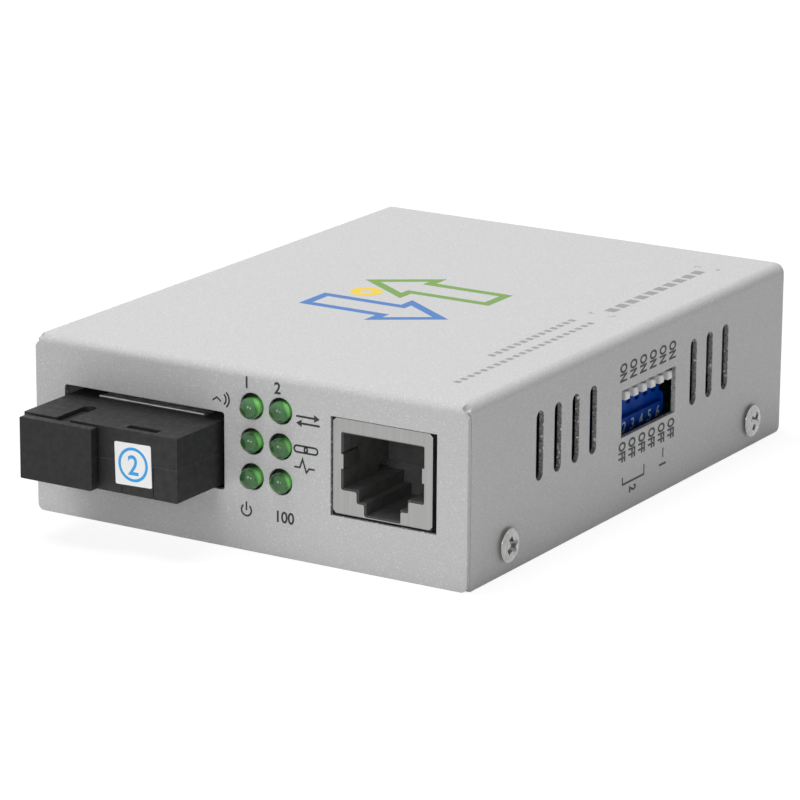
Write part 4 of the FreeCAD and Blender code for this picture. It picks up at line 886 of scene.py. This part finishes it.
def makeFloor():
    bm = bmesh.new()
    bmesh.ops.create_grid(bm, x_segments=1, y_segments=1, size=floor["size"] / 2)
    plane = asObject(bm, "floor")
    plane.location.z = -floor["below"]
    material, tree, shader = newMaterial("floorWhite", Roughness=1.0, Base_Color=floor["colour"],
                                         Specular_IOR_Level=0.0)
    share = multiply(tree, showing(tree), floor["whiteShare"])
    glow = addNode(tree, "ShaderNodeEmission", {"Color": floor["glow"], "Strength": floor["glowStrength"]})
    mixed = addNode(tree, "ShaderNodeMixShader", {0: share, 1: shader.outputs[0], 2: glow.outputs[0]})
    tree.links.new(mixed.outputs[0], tree.nodes["Material Output"].inputs["Surface"])
    plane.data.materials.append(material)


makeFloor()

sky = {"colour": (1, 1, 1, 1), "light": 0.05, "white": 1.0}


def makeSky():
    world = bpy.data.worlds.new("sky")
    world.use_nodes = True
    bpy.context.scene.world = world
    tree = world.node_tree
    strength = spread(tree, showing(tree), 0.0, 1.0, sky["light"], sky["white"])
    tree.links.new(strength, tree.nodes["Background"].inputs["Strength"])
    tree.nodes["Background"].inputs["Color"].default_value = sky["colour"]


makeSky()


# Camera, and lamps that aim at the case's middle

view = {
    "azimuth": 31.372, "elevation": 15.777, "roll": 0.401, "lens": 186.54, "sensor": 36,
    "place": (0.3006, -0.4991, 0.1750), "clip": (0.01, 20),
}


def makeCamera():
    azimuth, elevation, roll = (math.radians(view[name]) for name in ("azimuth", "elevation", "roll"))
    back = Vector((math.sin(azimuth) * math.cos(elevation), -math.cos(azimuth) * math.cos(elevation),
                   math.sin(elevation)))
    right = Vector((math.cos(azimuth), math.sin(azimuth), 0))
    up = back.cross(right)
    across = right * math.cos(roll) + up * math.sin(roll)
    upright = up * math.cos(roll) - right * math.sin(roll)
    data = bpy.data.cameras.new("camera")
    data.lens = view["lens"]
    data.sensor_width = view["sensor"]
    data.clip_start, data.clip_end = view["clip"]
    camera = bpy.data.objects.new("camera", data)
    bpy.context.scene.collection.objects.link(camera)
    turn = Matrix((across, upright, back)).transposed().to_4x4()
    camera.matrix_world = Matrix.Translation(view["place"]) @ turn
    bpy.context.scene.camera = camera
    return back


backwards = makeCamera()
behindCamera = 0.08  # metres from the camera to the lamp behind it

lighting = {
    "overhead": {"place": (-0.20, -0.03, 0.95), "size": 0.7, "power": 9.8, "mirrored": False},
    "nearCamera": {"place": Vector(view["place"]) + backwards * behindCamera, "size": 0.08,
                   "power": 0.5, "mirrored": True},
    "front": {"place": (0.03, -0.8, 0.37), "size": 0.35, "power": 1.5, "mirrored": True},
}
aimLevel = 12 * mm


def makeLamp(name, settings):
    data = bpy.data.lights.new(name, "AREA")
    data.shape = "DISK"
    data.size = settings["size"]
    data.energy = settings["power"]
    lamp = bpy.data.objects.new(name, data)
    lamp.visible_glossy = settings["mirrored"]
    bpy.context.scene.collection.objects.link(lamp)
    lamp.location = settings["place"]
    aim = Vector((0, 0, aimLevel)) - lamp.location
    lamp.rotation_euler = aim.to_track_quat("-Z", "Y").to_euler()


for name, settings in lighting.items():
    makeLamp(name, settings)
bpy.context.scene.view_settings.view_transform = "Standard"
print("floor, light and camera made")
